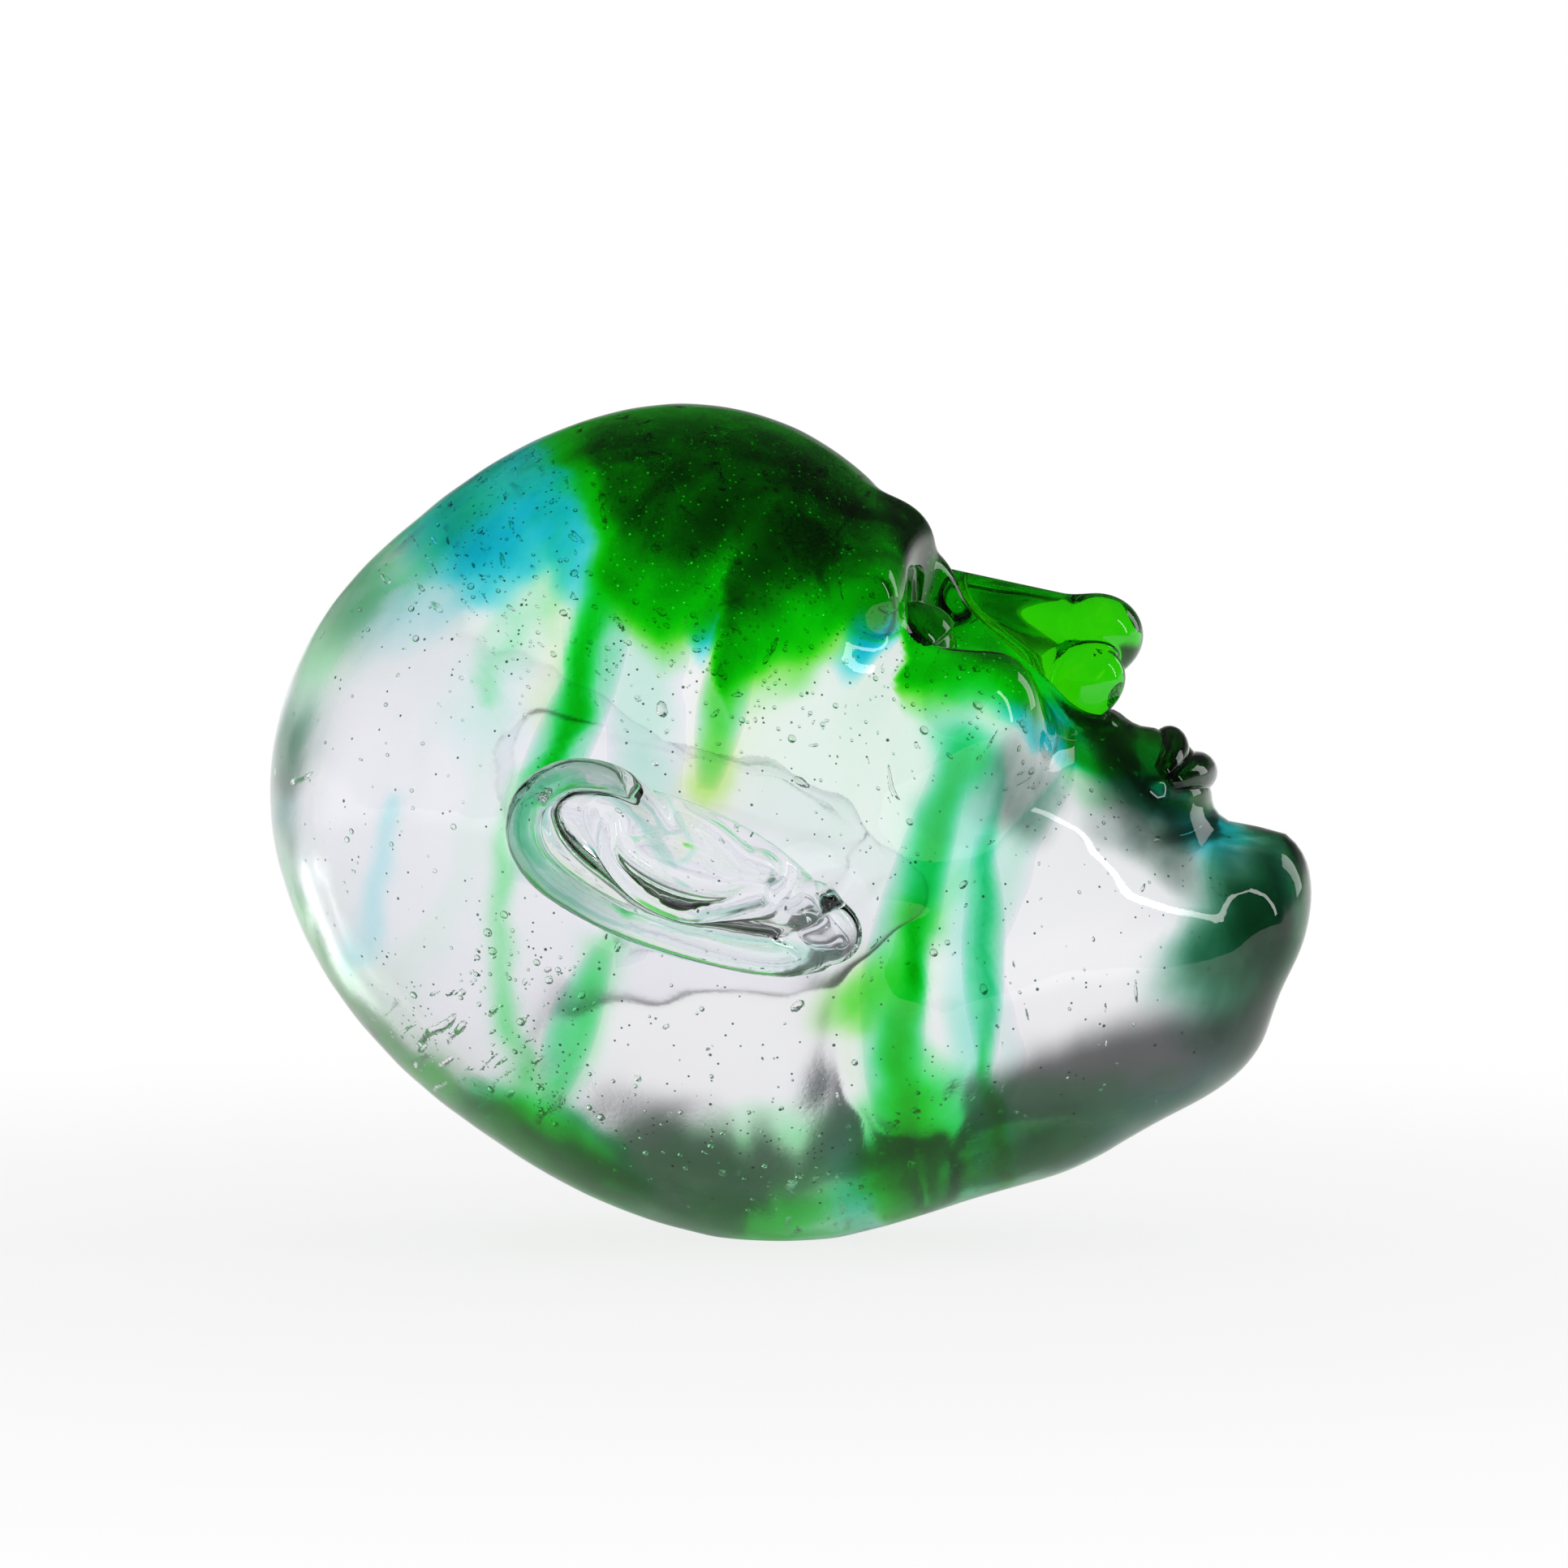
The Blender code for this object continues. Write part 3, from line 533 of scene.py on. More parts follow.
def body_glass(groups):
    """Clear crystal with dyes in it. How much of each is painted on the mesh, and broken up here."""
    material, nodes, links = new_material("dyed_crystal")
    shader = glass_shader(nodes)
    where = nodes.new("ShaderNodeTexCoord").outputs["Object"]
    streaks = noise(nodes, links, where, 75.0, 4.0, (1.0, 1.0, 0.3), math.radians(-25), 0.6)
    cloud = noise(nodes, links, where, 260.0, 3.0)
    mix = maths(nodes, links, "MULTIPLY_ADD", streaks, 1.5, 0.25)
    fine = maths(nodes, links, "MULTIPLY_ADD", cloud, 0.35, 0.825)
    mix = maths(nodes, links, "MULTIPLY", mix, fine)
    seedy = attribute(nodes, "seedy")
    small = place_group(nodes, links, groups["seeds"], Scale=400.0, Size=0.15, Share=seedy)
    tiny = place_group(nodes, links, groups["seeds"], Scale=740.0, Size=0.20, Share=seedy)
    specks = maths(nodes, links, "MAXIMUM", small, tiny)
    # Painted highlights: the seed specks thin the dye, so they show as light points in coloured glass
    mix = maths(nodes, links, "MULTIPLY", mix, maths(nodes, links, "MULTIPLY_ADD", specks, -0.9, 1.0))
    depths = {
        label: maths(nodes, links, "MULTIPLY", attribute(nodes, label.lower()), mix) for label in DYES
    }
    # Painted shade: in pale glass the specks turn dark with smoke instead
    pale = maths(nodes, links, "MULTIPLY_ADD", attribute(nodes, "green"), -0.5, 1.0)
    shade = maths(nodes, links, "MULTIPLY", specks, maths(nodes, links, "MAXIMUM", pale, 0.0))
    depths["Smoke"] = maths(nodes, links, "MULTIPLY_ADD", shade, 3.0, depths["Smoke"])
    links.new(place_group(nodes, links, groups["dyes"], **depths), shader.inputs["Base Color"])
    links.new(attribute(nodes, "satin"), shader.inputs["Roughness"])
    low = attribute(nodes, "grain")
    grain = maths(nodes, links, "MULTIPLY_ADD", low, 0.000014, 0.000003)
    skin = place_group(nodes, links, groups["skin"], Waves=0.00012, Grain=grain)
    folds = noise(nodes, links, where, 70.0, 1.0, (1.0, 0.3, 0.15))
    folds = maths(nodes, links, "MULTIPLY", folds, low)
    bump(nodes, links, maths(nodes, links, "MULTIPLY_ADD", folds, 0.0004, skin), shader)
    return material


def bit_glass(name, groups, waves=0.00006, satin=0.0, ior=1.5, **amounts):
    """Glass of one colour for a laid-on bit, a little streaky, with seed specks painted lighter as
    highlights.
    """
    material, nodes, links = new_material(name)
    shader = glass_shader(nodes, ior)
    shader.inputs["Roughness"].default_value = satin
    where = nodes.new("ShaderNodeTexCoord").outputs["Object"]
    mix = maths(nodes, links, "MULTIPLY_ADD", noise(nodes, links, where, 120.0, 3.0), 0.8, 0.6)
    # Painted highlights: the seed specks thin the dye, so they show as light points
    specks = place_group(nodes, links, groups["seeds"], Scale=900.0, Size=0.14, Share=0.3)
    clear = maths(nodes, links, "MULTIPLY_ADD", specks, -0.6, 1.0)
    mix = maths(nodes, links, "MULTIPLY", mix, clear)
    depths = {}
    for label, amount in amounts.items():
        amount = attribute(nodes, amount) if isinstance(amount, str) else amount
        depths[label] = maths(nodes, links, "MULTIPLY", mix, amount)
    links.new(place_group(nodes, links, groups["dyes"], **depths), shader.inputs["Base Color"])
    skin = place_group(nodes, links, groups["skin"], Waves=waves, Grain=0.000002)
    bump(nodes, links, skin, shader)
    return material


def trail_glass(groups):
    """The dye of a trail inside the clear glass. It bends no light, and fades out to its edges."""
    material, nodes, links = new_material("trail_glass")
    shader = glass_shader(nodes, 1.0)
    where = nodes.new("ShaderNodeTexCoord").outputs["Object"]
    mix = maths(nodes, links, "MULTIPLY_ADD", noise(nodes, links, where, 180.0, 3.0), 1.2, 0.4)
    core = maths(nodes, links, "MULTIPLY", attribute(nodes, "core"), mix)
    depths = {
        label: maths(nodes, links, "MULTIPLY", core, amount)
        for label, amount in (("Green", 0.14), ("Blue", 0.05))
    }
    links.new(place_group(nodes, links, groups["dyes"], **depths), shader.inputs["Base Color"])
    return material


def seed_glass():
    material, nodes, links = new_material("seed_glass")
    shader = glass_shader(nodes, 1.4)
    where = nodes.new("ShaderNodeTexCoord").outputs["Object"]
    # Painted shade: a grey tint that darkens the light through each seed
    seed_shade = maths(nodes, links, "MULTIPLY_ADD", noise(nodes, links, where, 300.0), 0.3, 0.78)
    join = nodes.new("ShaderNodeCombineColor")
    for channel in ("Red", "Green", "Blue"):
        links.new(seed_shade, join.inputs[channel])
    links.new(join.outputs[0], shader.inputs["Base Color"])
    return material


# Where the dyes lie. Places are across and up as seen from the right side, in millimetres.
def streak(across, up, line, width, grow=1.0):
    """1 on the line, falling off smoothly over its width, which grows by this much to its end."""
    best = np.zeros(len(across))
    widths = np.linspace(width, width * grow, len(line))
    for (a, b), (wide, wider) in zip(zip(line, line[1:]), zip(widths, widths[1:])):
        start, run = np.array(a, float), np.array(b, float) - np.array(a, float)
        t = np.clip(((across - start[0]) * run[0] + (up - start[1]) * run[1]) / (run @ run), 0, 1)
        gap = np.hypot(across - start[0] - t * run[0], up - start[1] - t * run[1])
        best = np.maximum(best, np.exp(-((gap / (wide + t * (wider - wide))) ** 2)))
    return best


def blob(across, up, centre, radii, soft=0.5, turn=0.0):
    """1 inside an oval and 0 outside, with a soft edge."""
    c, s = math.cos(math.radians(turn)), math.sin(math.radians(turn))
    a, b = across - centre[0], up - centre[1]
    far = np.hypot((a * c + b * s) / radii[0], (b * c - a * s) / radii[1])
    return 1 - soft_step(1 - soft, 1 + soft, far)


GATHER_EDGE = [  # the lower edge of the green over the crown and the brow
    (-68, 170), (-50, 157), (-46, 152), (-42, 146), (-38, 139), (-36, 132), (-34, 125), (-30, 120),
    (-25, 117), (-20, 118), (-16, 120), (-12.6, 122), (-11.6, 114), (-10, 106), (-7, 108), (-1, 111),
    (4, 114), (8, 117), (12, 120), (16, 124), (19, 127), (21, 120), (23, 108), (28, 105), (35, 106),
    (41, 103), (50, 101), (56, 92), (64, 89), (74, 86), (90, 80),
]
TRAILS = {  # places, width, the end's width over the start's, and how strong each dye is
    "temple": ([(-33, 125), (-38.5, 112), (-45, 100), (-50.5, 90)], 2.6, 0.6, {"green": 1.5, "blue": 0.15}),
    "temple_below": (
        [(-50.5, 90), (-54, 75), (-58, 61), (-56, 47), (-52, 31), (-49, 15)], 2.0, 1.4, {"green": 0.3},
    ),
    "temple_veil": ([(-42, 122), (-46, 108), (-51, 97)], 3.4, 1.0, {"green": 0.03, "lime": 0.05}),
    "crown_veil": ([(-55, 125), (-58, 112), (-60, 98)], 5.0, 1.2, {"green": 0.015, "blue": 0.02}),
    "behind_ear": ([(-37, 55), (-40, 42), (-46, 28), (-52, 19)], 3.0, 1.2, {"green": 0.3}),
    "cheek": ([(33, 92), (30, 86), (26, 72), (24, 61), (20, 50)], 4.0, 0.55, {"green": 0.6, "blue": 0.35}),
    "cheek_below": ([(20, 50), (18, 39), (21, 25), (23, 11)], 2.2, 2.2, {"green": 0.9, "blue": 0.12}),
    "ear_lobe": ([(24, 61), (18, 52), (10, 43)], 4.0, 1.0, {"green": 0.4, "lime": 0.30}),
    "brow": ([(-9, 110), (-13, 100), (-16, 89), (-18, 81)], 2.6, 1.6, {"green": 0.08, "lime": 0.28}),
    "nape": ([(-77, 81), (-81, 66), (-82, 53)], 2.2, 1.0, {"blue": 0.07}),
}
SPOTS = [  # dye, strength, across, up, half width, half height, softness, turn
    ("blue", 0.75, -54, 139, 19, 13, 0.35, 35), ("blue", 0.45, -41, 131, 6, 11, 0.5, 15),
    ("blue", 1.1, 17, 118, 4, 9, 0.6, -35), ("blue", 1.1, 49, 97, 9, 4, 0.6, -25),
    ("blue", 0.7, -14, 118, 3, 5, 0.8, 0), ("blue", 0.25, -46, 15, 15, 8, 0.6, -30),
    ("blue", 0.10, -71, 125, 14, 7, 0.7, 40), ("smoke", 0.05, -71, 125, 14, 7, 0.7, 40),
    ("smoke", 1.3, 44, 85, 7, 8, 0.7, 30), ("smoke", 1.4, 67, 80, 6, 13, 0.6, 35),
    # The smoke spot at 44 across and 12 up is painted shade: it darkens the glass near the base
    ("smoke", 0.6, 44, 12, 14, 8, 0.7, 20), ("green", 1.2, -46, 15, 15, 8, 0.6, -30),
    ("green", 0.04, 14, 88, 22, 22, 0.6, 0), ("green", 2.5, 14, 134, 15, 10, 0.7, -20),
    ("green", 0.20, 14, 13, 85, 14, 0.3, 8), ("green", 0.4, 23, 24, 6, 8, 0.8, 0),
]
SEED_CLUSTERS = [  # across, up, spread, share, in millimetres
    (-74, 45, 7, 1.0), (-68, 35, 6, 0.9), (-48, 31, 6, 1.6), (-52, 54, 8, 1.5), (-44, 48, 7, 1.0),
    (-58, 120, 10, 0.6), (-52, 108, 9, 0.4), (-20, 112, 14, 0.7), (5, 108, 16, 0.5), (30, 105, 14, 0.5),
    (-78, 70, 8, 0.35), (-40, 25, 10, 0.6), (-10, 20, 14, 0.4), (12, 18, 14, 0.4), (60, 90, 12, 0.4),
    (25, 20, 10, 0.7), (-10, 140, 30, 0.7), (40, 125, 20, 0.5),
]


def as_seen(places):
    """Places across and up as the camera shows them against the middle of the head, in millimetres."""
    far, aim = CAMERA_FAR * 1000, CAMERA_AIM * 1000
    reach = np.abs(places[:, 1])
    grow = far / (far - reach)
    up = (places[:, 2] - aim.z) * grow + aim.z - reach * math.tan(CAMERA_TILT)
    return (places[:, 0] - aim.x) * grow + aim.x, up


def seeds_near(across, up, least):
    """How thick the seeds lie at each place: the least of them everywhere, and more in a cluster."""
    return sum((
        share * np.exp(-(((across - x) ** 2 + (up - z) ** 2) / spread**2))
        for x, z, spread, share in SEED_CLUSTERS
    ), least)


def paint_dyes_and_shade(body):
    """How much of each dye lies at each place of the body's skin; some of the smoke there is painted shade.
    """
    places = np.array([v.co for v in body.data.vertices]) * 1000.0
    bent = places.copy()  # so that no edge runs straight
    bent[:, 0] += 1.8 * ripple(places, 34.0, 11) + 0.8 * ripple(places, 12.0, 12)
    bent[:, 2] += 1.6 * ripple(places, 30.0, 13) + 0.8 * ripple(places, 11.0, 14)
    upright = (bent - np.array(HEAD_PLACE) * 1000.0) @ np.array(LEAN.to_3x3())
    forward, upward = upright[:, 0], upright[:, 2]
    x, z = as_seen(bent)
    near = 1 - soft_step(-12, 12, places[:, 1])
    dyes = {label.lower(): np.zeros(len(x)) for label in DYES}

    # The gather, weaker along the crest where light leaves the glass, and yellow along its edge
    crest = 0.3 + 0.7 * soft_step(8, 30, np.abs(places[:, 1]))
    above = z - np.interp(x, *zip(*GATHER_EDGE))
    cap = soft_step(-60, -48, x) * near + 0.3 * soft_step(-38, -22, x) * (1 - near)
    deep = 0.4 * soft_step(-10, 0, above) + 1.6 * soft_step(-4, 3, above) + 8.6 * soft_step(2, 20, above)
    rim = np.exp(-(((above - 1.0) / 4.5) ** 2)) * soft_step(-45, -35, x) * (1 - soft_step(26, 34, x))
    dyes["green"] += deep * cap * crest
    dyes["lime"] += 0.8 * rim * cap

    # The trails, the fold down the cheek with its seam, the spots, and the foot of the cheek trail
    for line, width, end, strengths in TRAILS.values():
        trail = streak(x, z, line, width, end) * (0.08 + 0.92 * near)
        for dye, strength in strengths.items():
            dyes[dye] += strength * trail
    fold = soft_step(26, 38, x) * (1 - soft_step(38.5, 40.5, x)) * (1 - soft_step(88, 95, z)) * near
    seam = np.exp(-(((x - 39.0) / 1.3) ** 2)) * (1 - soft_step(70, 95, z)) * near
    dyes["green"] += 0.07 * fold + (0.15 + 0.7 * soft_step(45, 22, z)) * seam
    dyes["blue"] += 0.10 * fold + 0.15 * seam
    for dye, strength, across, up, wide, tall, soft, turn in SPOTS:
        dyes[dye] += strength * blob(x, z, (across, up), (wide, tall), soft, turn) * (0.2 + 0.8 * near)
    foot = blob(x, z, (27, 14), (11, 10), 0.9, 20) * (1 - soft_step(-24, -14, places[:, 1]))
    dyes["green"] += 0.6 * foot
    dyes["blue"] += 0.25 * foot

    # Little behind the ear, and then the front of the face and the chin, on both sides alike
    behind = 1 - 0.85 * blob(x, z, (-21, 70), (32, 14), 0.25, -19) * near
    dyes = {dye: amount * behind for dye, amount in dyes.items()}
    front, brow = soft_step(57, 69, forward), soft_step(-25, -8, upward)
    dyes["green"] += 4.0 * front * brow * crest
    dyes["blue"] += 1.0 * front * (1 - brow) * soft_step(-66, -55, upward)
    # Painted shade: smoke darkens the chin's lower end, with a little green and blue dye
    chin = soft_step(-62, -72, upward) * soft_step(30, 50, forward)
    for dye, strength in (("smoke", 1.6), ("green", 0.20), ("blue", 0.12)):
        dyes[dye] += strength * chin

    grain = blob(x, z, (5, 14), (75, 20), 0.5)
    satin = np.maximum(0.06 * grain, 0.17 * soft_step(-2, 26, places[:, 1]))
    seedy = 0.10 + 0.4 * soft_step(0, 8, above) + 0.4 * blob(x, z, (-55, 139), (14, 7), 0.6, 30)
    seedy = (seedy + 0.4 * seeds_near(x, z, 0.0)) * (0.1 + 0.9 * near)
    for name, amount in {**dyes, "satin": satin, "grain": grain, "seedy": seedy}.items():
        paint(body.data, name, np.maximum(amount, 0))


# The pieces
def build_body(material):
    bm = shaped_ball(body_distance, FORM_CENTRE, 7)
    bmesh.ops.transform(bm, matrix=ON_BASE, verts=bm.verts)
    geom = bm.verts[:] + bm.edges[:] + bm.faces[:]
    ground = {"plane_co": (0, 0, 0), "plane_no": (0, 0, 1)}
    cut = bmesh.ops.bisect_plane(bm, geom=geom, clear_inner=True, **ground)
    rim = [e for e in cut["geom_cut"] if isinstance(e, bmesh.types.BMEdge)]
    bmesh.ops.edgeloop_fill(bm, edges=rim)
    bmesh.ops.triangulate(bm, faces=[f for f in bm.faces if len(f.verts) > 3])
    bmesh.ops.recalc_face_normals(bm, faces=bm.faces)
    body = add_piece(
        "crystal_body_glass", bm, material, ["crystal_body", "forehead_gather", "crown_gather"],
        leaned=False,
    )
    paint_dyes_and_shade(body)


def nose_distance(points):
    return np.maximum(nose_form(points), -body_distance(points) - LET_IN)


def build_nose(material):
    middle = NOSE_ROOT + np.array([0.005, 0.0, -0.0175])
    bm = shaped_ball(nose_distance, middle, 6, 0.06)
    add_piece("nose_glass", bm, material, ["nose"])


def build_lips(upper_material, lower_material):
    for name, material, slot in (
        ("upper_lip", upper_material, "dark_green_glass"), ("lower_lip", lower_material, "teal_glass"),
    ):
        line, radii = LIPS[name]
        count = 49
        line = smooth_line(line, count)
        radii = np.interp(np.linspace(0, 1, count), np.linspace(0, 1, len(radii)), radii)
        bm = fused(tube(bmesh.new(), line, radii, 16), 0.0004, 8)
        sink_to_head(bm)
        add_piece(name + "_glass", bm, material, [name])


def build_eyelid(side, material):
    socket, _ = on_head((0.0, side * EYE_SPACING / 2, EYE_LINE), (1.0, 0.0, 0.0))
    centre = np.array(socket) + np.array([EYE_OUT - EYE_RADIUS, 0.0, 0.0])
    turn = np.array(Matrix.Rotation(side * math.radians(15.0), 3, "Z"))

    def lid(points):
        p = (points - centre) @ turn
        p[:, 2] /= EYE_HEIGHT
        lash = soft_step(math.radians(-18), math.radians(-14), np.arctan2(p[:, 2], p[:, 0]))
        radius = EYE_RADIUS + 0.0009 * lash * np.clip(1 - (p[:, 1] / EYE_RADIUS) ** 2, 0, 1)
        form = np.linalg.norm(p, axis=1) - radius
        return np.maximum(form, -body_distance(points) - LET_IN)

    name = "eyelid_left" if side > 0 else "eyelid_right"
    bm = shaped_ball(lid, np.array(socket) + np.array([0.0015, 0.0, 0.0]), 6, 0.03)
    add_piece(name + "_glass", bm, material, [name])


def build_ear(side, material):
    """An ear of a rim, inner folds and lumps on a tipped plate, fused and hollowed."""
    place, out = on_head((EAR_PLACE[0], 0.0, EAR_PLACE[1]), (0.0, side, 0.0))
    length = Vector((-math.sin(EAR_LEAN), 0.0, math.cos(EAR_LEAN)))
    length = (length - out * length.dot(out)).normalized()
    turn = Matrix((length, out.cross(length) * side, out)).transposed()

    def placed(point):
        return place + turn @ (Vector(point) * EAR_GROW)

    def lump(bm, centre, radii, tipped):
        spin = turn.to_4x4() @ Matrix.Rotation(EAR_TIP if tipped else 0.0, 4, "X")
        size = Matrix.Diagonal((*(Vector(radii) * EAR_GROW), 1.0))
        matrix = Matrix.Translation(placed(centre)) @ spin @ size
        made = bmesh.ops.create_uvsphere(bm, u_segments=40, v_segments=20, radius=1.0, matrix=matrix)
        if side < 0:
            faces = {f for v in made["verts"] for f in v.link_faces}
            bmesh.ops.recalc_face_normals(bm, faces=list(faces))
        return bm

    bm = bmesh.new()
    for line, radii in ((HELIX, HELIX_RADII), (FOLD, FOLD_RADII), (FRONT_EDGE, FRONT_RADII)):
        count = 6 * len(line)
        drawn = smooth_line([placed(p) for p in line], count)
        tube(bm, drawn, np.interp(np.linspace(0, 1, count), np.linspace(0, 1, len(radii)), radii), 14)
    for centre, radii, tipped in EAR_LUMPS:
        lump(bm, centre, radii, tipped)
    hollows = [lump(bmesh.new(), *drawn) for drawn in EAR_HOLLOWS]
    bm = fused(bm, 0.0005, 24, hollows)
    sink_to_head(bm, LET_IN if side < 0 else LET_IN_LEFT_EAR)
    local = (np.array([v.co for v in bm.verts]) - np.array(place)) @ np.array(turn)

    def from_rim(size):
        rim = [np.array(Vector(p) * EAR_GROW) * (size, size, 1) for p in HELIX]
        return np.min([rod(local, a, b, 0.0, 0.0) for a, b in zip(rim, rim[1:])], axis=0)

    # Painted shade: smoke and a little green darken the upper end of the rim
    rim_end_shade = np.exp(-((from_rim(1.09) / 0.0032) ** 2)) * soft_step(0.002, 0.022, local[:, 0])
    fringe = soft_step(-0.0138, -0.0154, local[:, 1])
    fringe = fringe + 0.5 * np.exp(-(((from_rim(1.0) - 0.0034) / 0.0005) ** 2))
    name = "ear_left" if side > 0 else "ear_right"
    piece = add_piece(name + "_glass", bm, material, [name])
    amounts = {"green": 0.002 + 0.02 * rim_end_shade + 0.08 * fringe, "smoke": 0.6 * rim_end_shade, "blue": 0.05 * fringe}
    for dye, amount in amounts.items():
        paint(piece.data, dye, amount * (side < 0))  # the left ear stays clear


TRAIL_PLACES = {  # side, width, and places forward and up on the upright head
    "temple_trail_right": (-1, 0.9, [
        (0.026, 0.055), (0.0175, 0.0515), (0.009, 0.0485), (0.000, 0.0455), (-0.009, 0.0425),
        (-0.018, 0.038), (-0.027, 0.033),
    ]),
    "nape_trail_right": (-1, 0.8, [(-0.026, 0.013), (-0.036, 0.010), (-0.046, 0.006), (-0.056, 0.001)]),
    "brow_trail_right": (-1, 0.75, [(0.040, 0.034), (0.029, 0.030), (0.020, 0.025), (0.010, 0.019)]),
    "cheek_trail_right": (-1, 1.0, [
        (0.047, -0.010), (0.0355, -0.0165), (0.021, -0.023), (0.0075, -0.029), (-0.0035, -0.0375),
        (-0.012, -0.047), (-0.019, -0.0565),
    ]),
    "jaw_trail_right": (-1, 0.7, [(0.038, -0.026), (0.028, -0.034), (0.016, -0.0445), (0.004, -0.056)]),
    "temple_trail_left": (1, 0.9, [(0.030, 0.050), (0.015, 0.040), (0.000, 0.028), (-0.020, 0.010)]),
    "cheek_trail_left": (1, 1.0, [(0.052, -0.010), (0.038, -0.024), (0.022, -0.037), (0.006, -0.050)]),
    "nape_trail_left": (1, 0.8, [(-0.034, 0.004), (-0.044, -0.008), (-0.054, -0.018)]),
}


def build_trails(material):
    """A flat ribbon of dye inside the glass for each trail."""
    for name, (side, size, places) in TRAIL_PLACES.items():
        line, ways = [], []
        for forward, up in places:
            point, normal = on_head((forward, 0.0, up), (0.0, side, 0.0))
            line.append(point - normal * RIBBON_DEPTH)
            ways.append(normal)
        count = 28
        line, ways = smooth_line(line, count), smooth_line(ways, count)
        along = np.linspace(0, 1, count)
        radii = RIBBON_RADIUS * size * (0.25 + 0.75 * np.sin(np.pi * (0.06 + 0.88 * along)))
        bm = tube(bmesh.new(), line, radii, 16, (RIBBON_THIN, ways))
        cores = list(zip([Vector(p) for p in line], radii, np.sin(np.pi * along) ** 0.7))
        values = []
        for v in bm.verts:
            gap, radius, fade = min(((v.co - core).length, wide, end) for core, wide, end in cores)
            values.append(max(0.0, 1 - (gap / radius) ** 2) * fade * (1.0 if side < 0 else RIBBON_LEFT))
        piece = add_piece(name + "_glass", bm, material, [name])
        paint(piece.data, "core", values)


def build_seeds(material):
    """The bubbles in the glass: small beads scattered in clusters, most of them near the sides."""
    random = np.random.default_rng(7)
    low, high = np.array([-0.075, -0.06, -0.10]), np.array([0.09, 0.06, 0.10])
    tries = random.uniform(low, high, (SEED_TRIES, 3))
    depth = -head_distance(tries)
    tries, depth = tries[depth > 0.0012], depth[depth > 0.0012]
    world = (tries @ np.array(ON_BASE.to_3x3()).T + np.array(HEAD_PLACE)) * 1000
    share = seeds_near(world[:, 0], world[:, 2], 0.05) * (np.exp(-depth / 0.0035) + 0.02)
    # Fewer where the skin turns away from the sides, as there the glass draws a bead out into a line
    aside = np.abs(head_distance(tries + (0, 0.001, 0)) - head_distance(tries - (0, 0.001, 0))) / 0.002
    share *= np.clip((aside - 0.25) / 0.35, 0.15, 1.0) * (world[:, 2] > 2)
    chosen = random.choice(len(tries), SEED_COUNT, replace=False, p=share / share.sum())
    bm = bmesh.new()
    batch = bpy.data.meshes.new("seed_batch")
    for first in range(0, len(chosen), 30):  # in small lots, as the operator slows down on a large mesh
        lot = bmesh.new()
        for k in chosen[first:first + 30]:
            radius = min(SEED_RADIUS * math.exp(abs(random.normal()) * 0.6), SEED_LARGEST)
            spin = Matrix.Rotation(random.uniform(0, 6.28), 4, "Z")
            size = Matrix.Diagonal((radius, radius, radius * 1.1, 1))
            matrix = Matrix.Translation(tries[k]) @ spin @ size
            bmesh.ops.create_uvsphere(lot, u_segments=8, v_segments=5, radius=1.0, matrix=matrix)
        lot.to_mesh(batch)
        lot.free()
        bm.from_mesh(batch)
    bpy.data.meshes.remove(batch)
    add_piece("seed_bubbles", bm, material, [])


# The studio
def ramp(nodes, stops):
    made = nodes.new("ShaderNodeValToRGB")
    made.color_ramp.interpolation = "EASE"
    while len(made.color_ramp.elements) > 1:
        made.color_ramp.elements.remove(made.color_ramp.elements[-1])
    for i, (place, value) in enumerate(stops):
        stop = made.color_ramp.elements[0] if i == 0 else made.color_ramp.elements.new(place)
        stop.position = place
        stop.color = (value, value, value, 1)
    return made


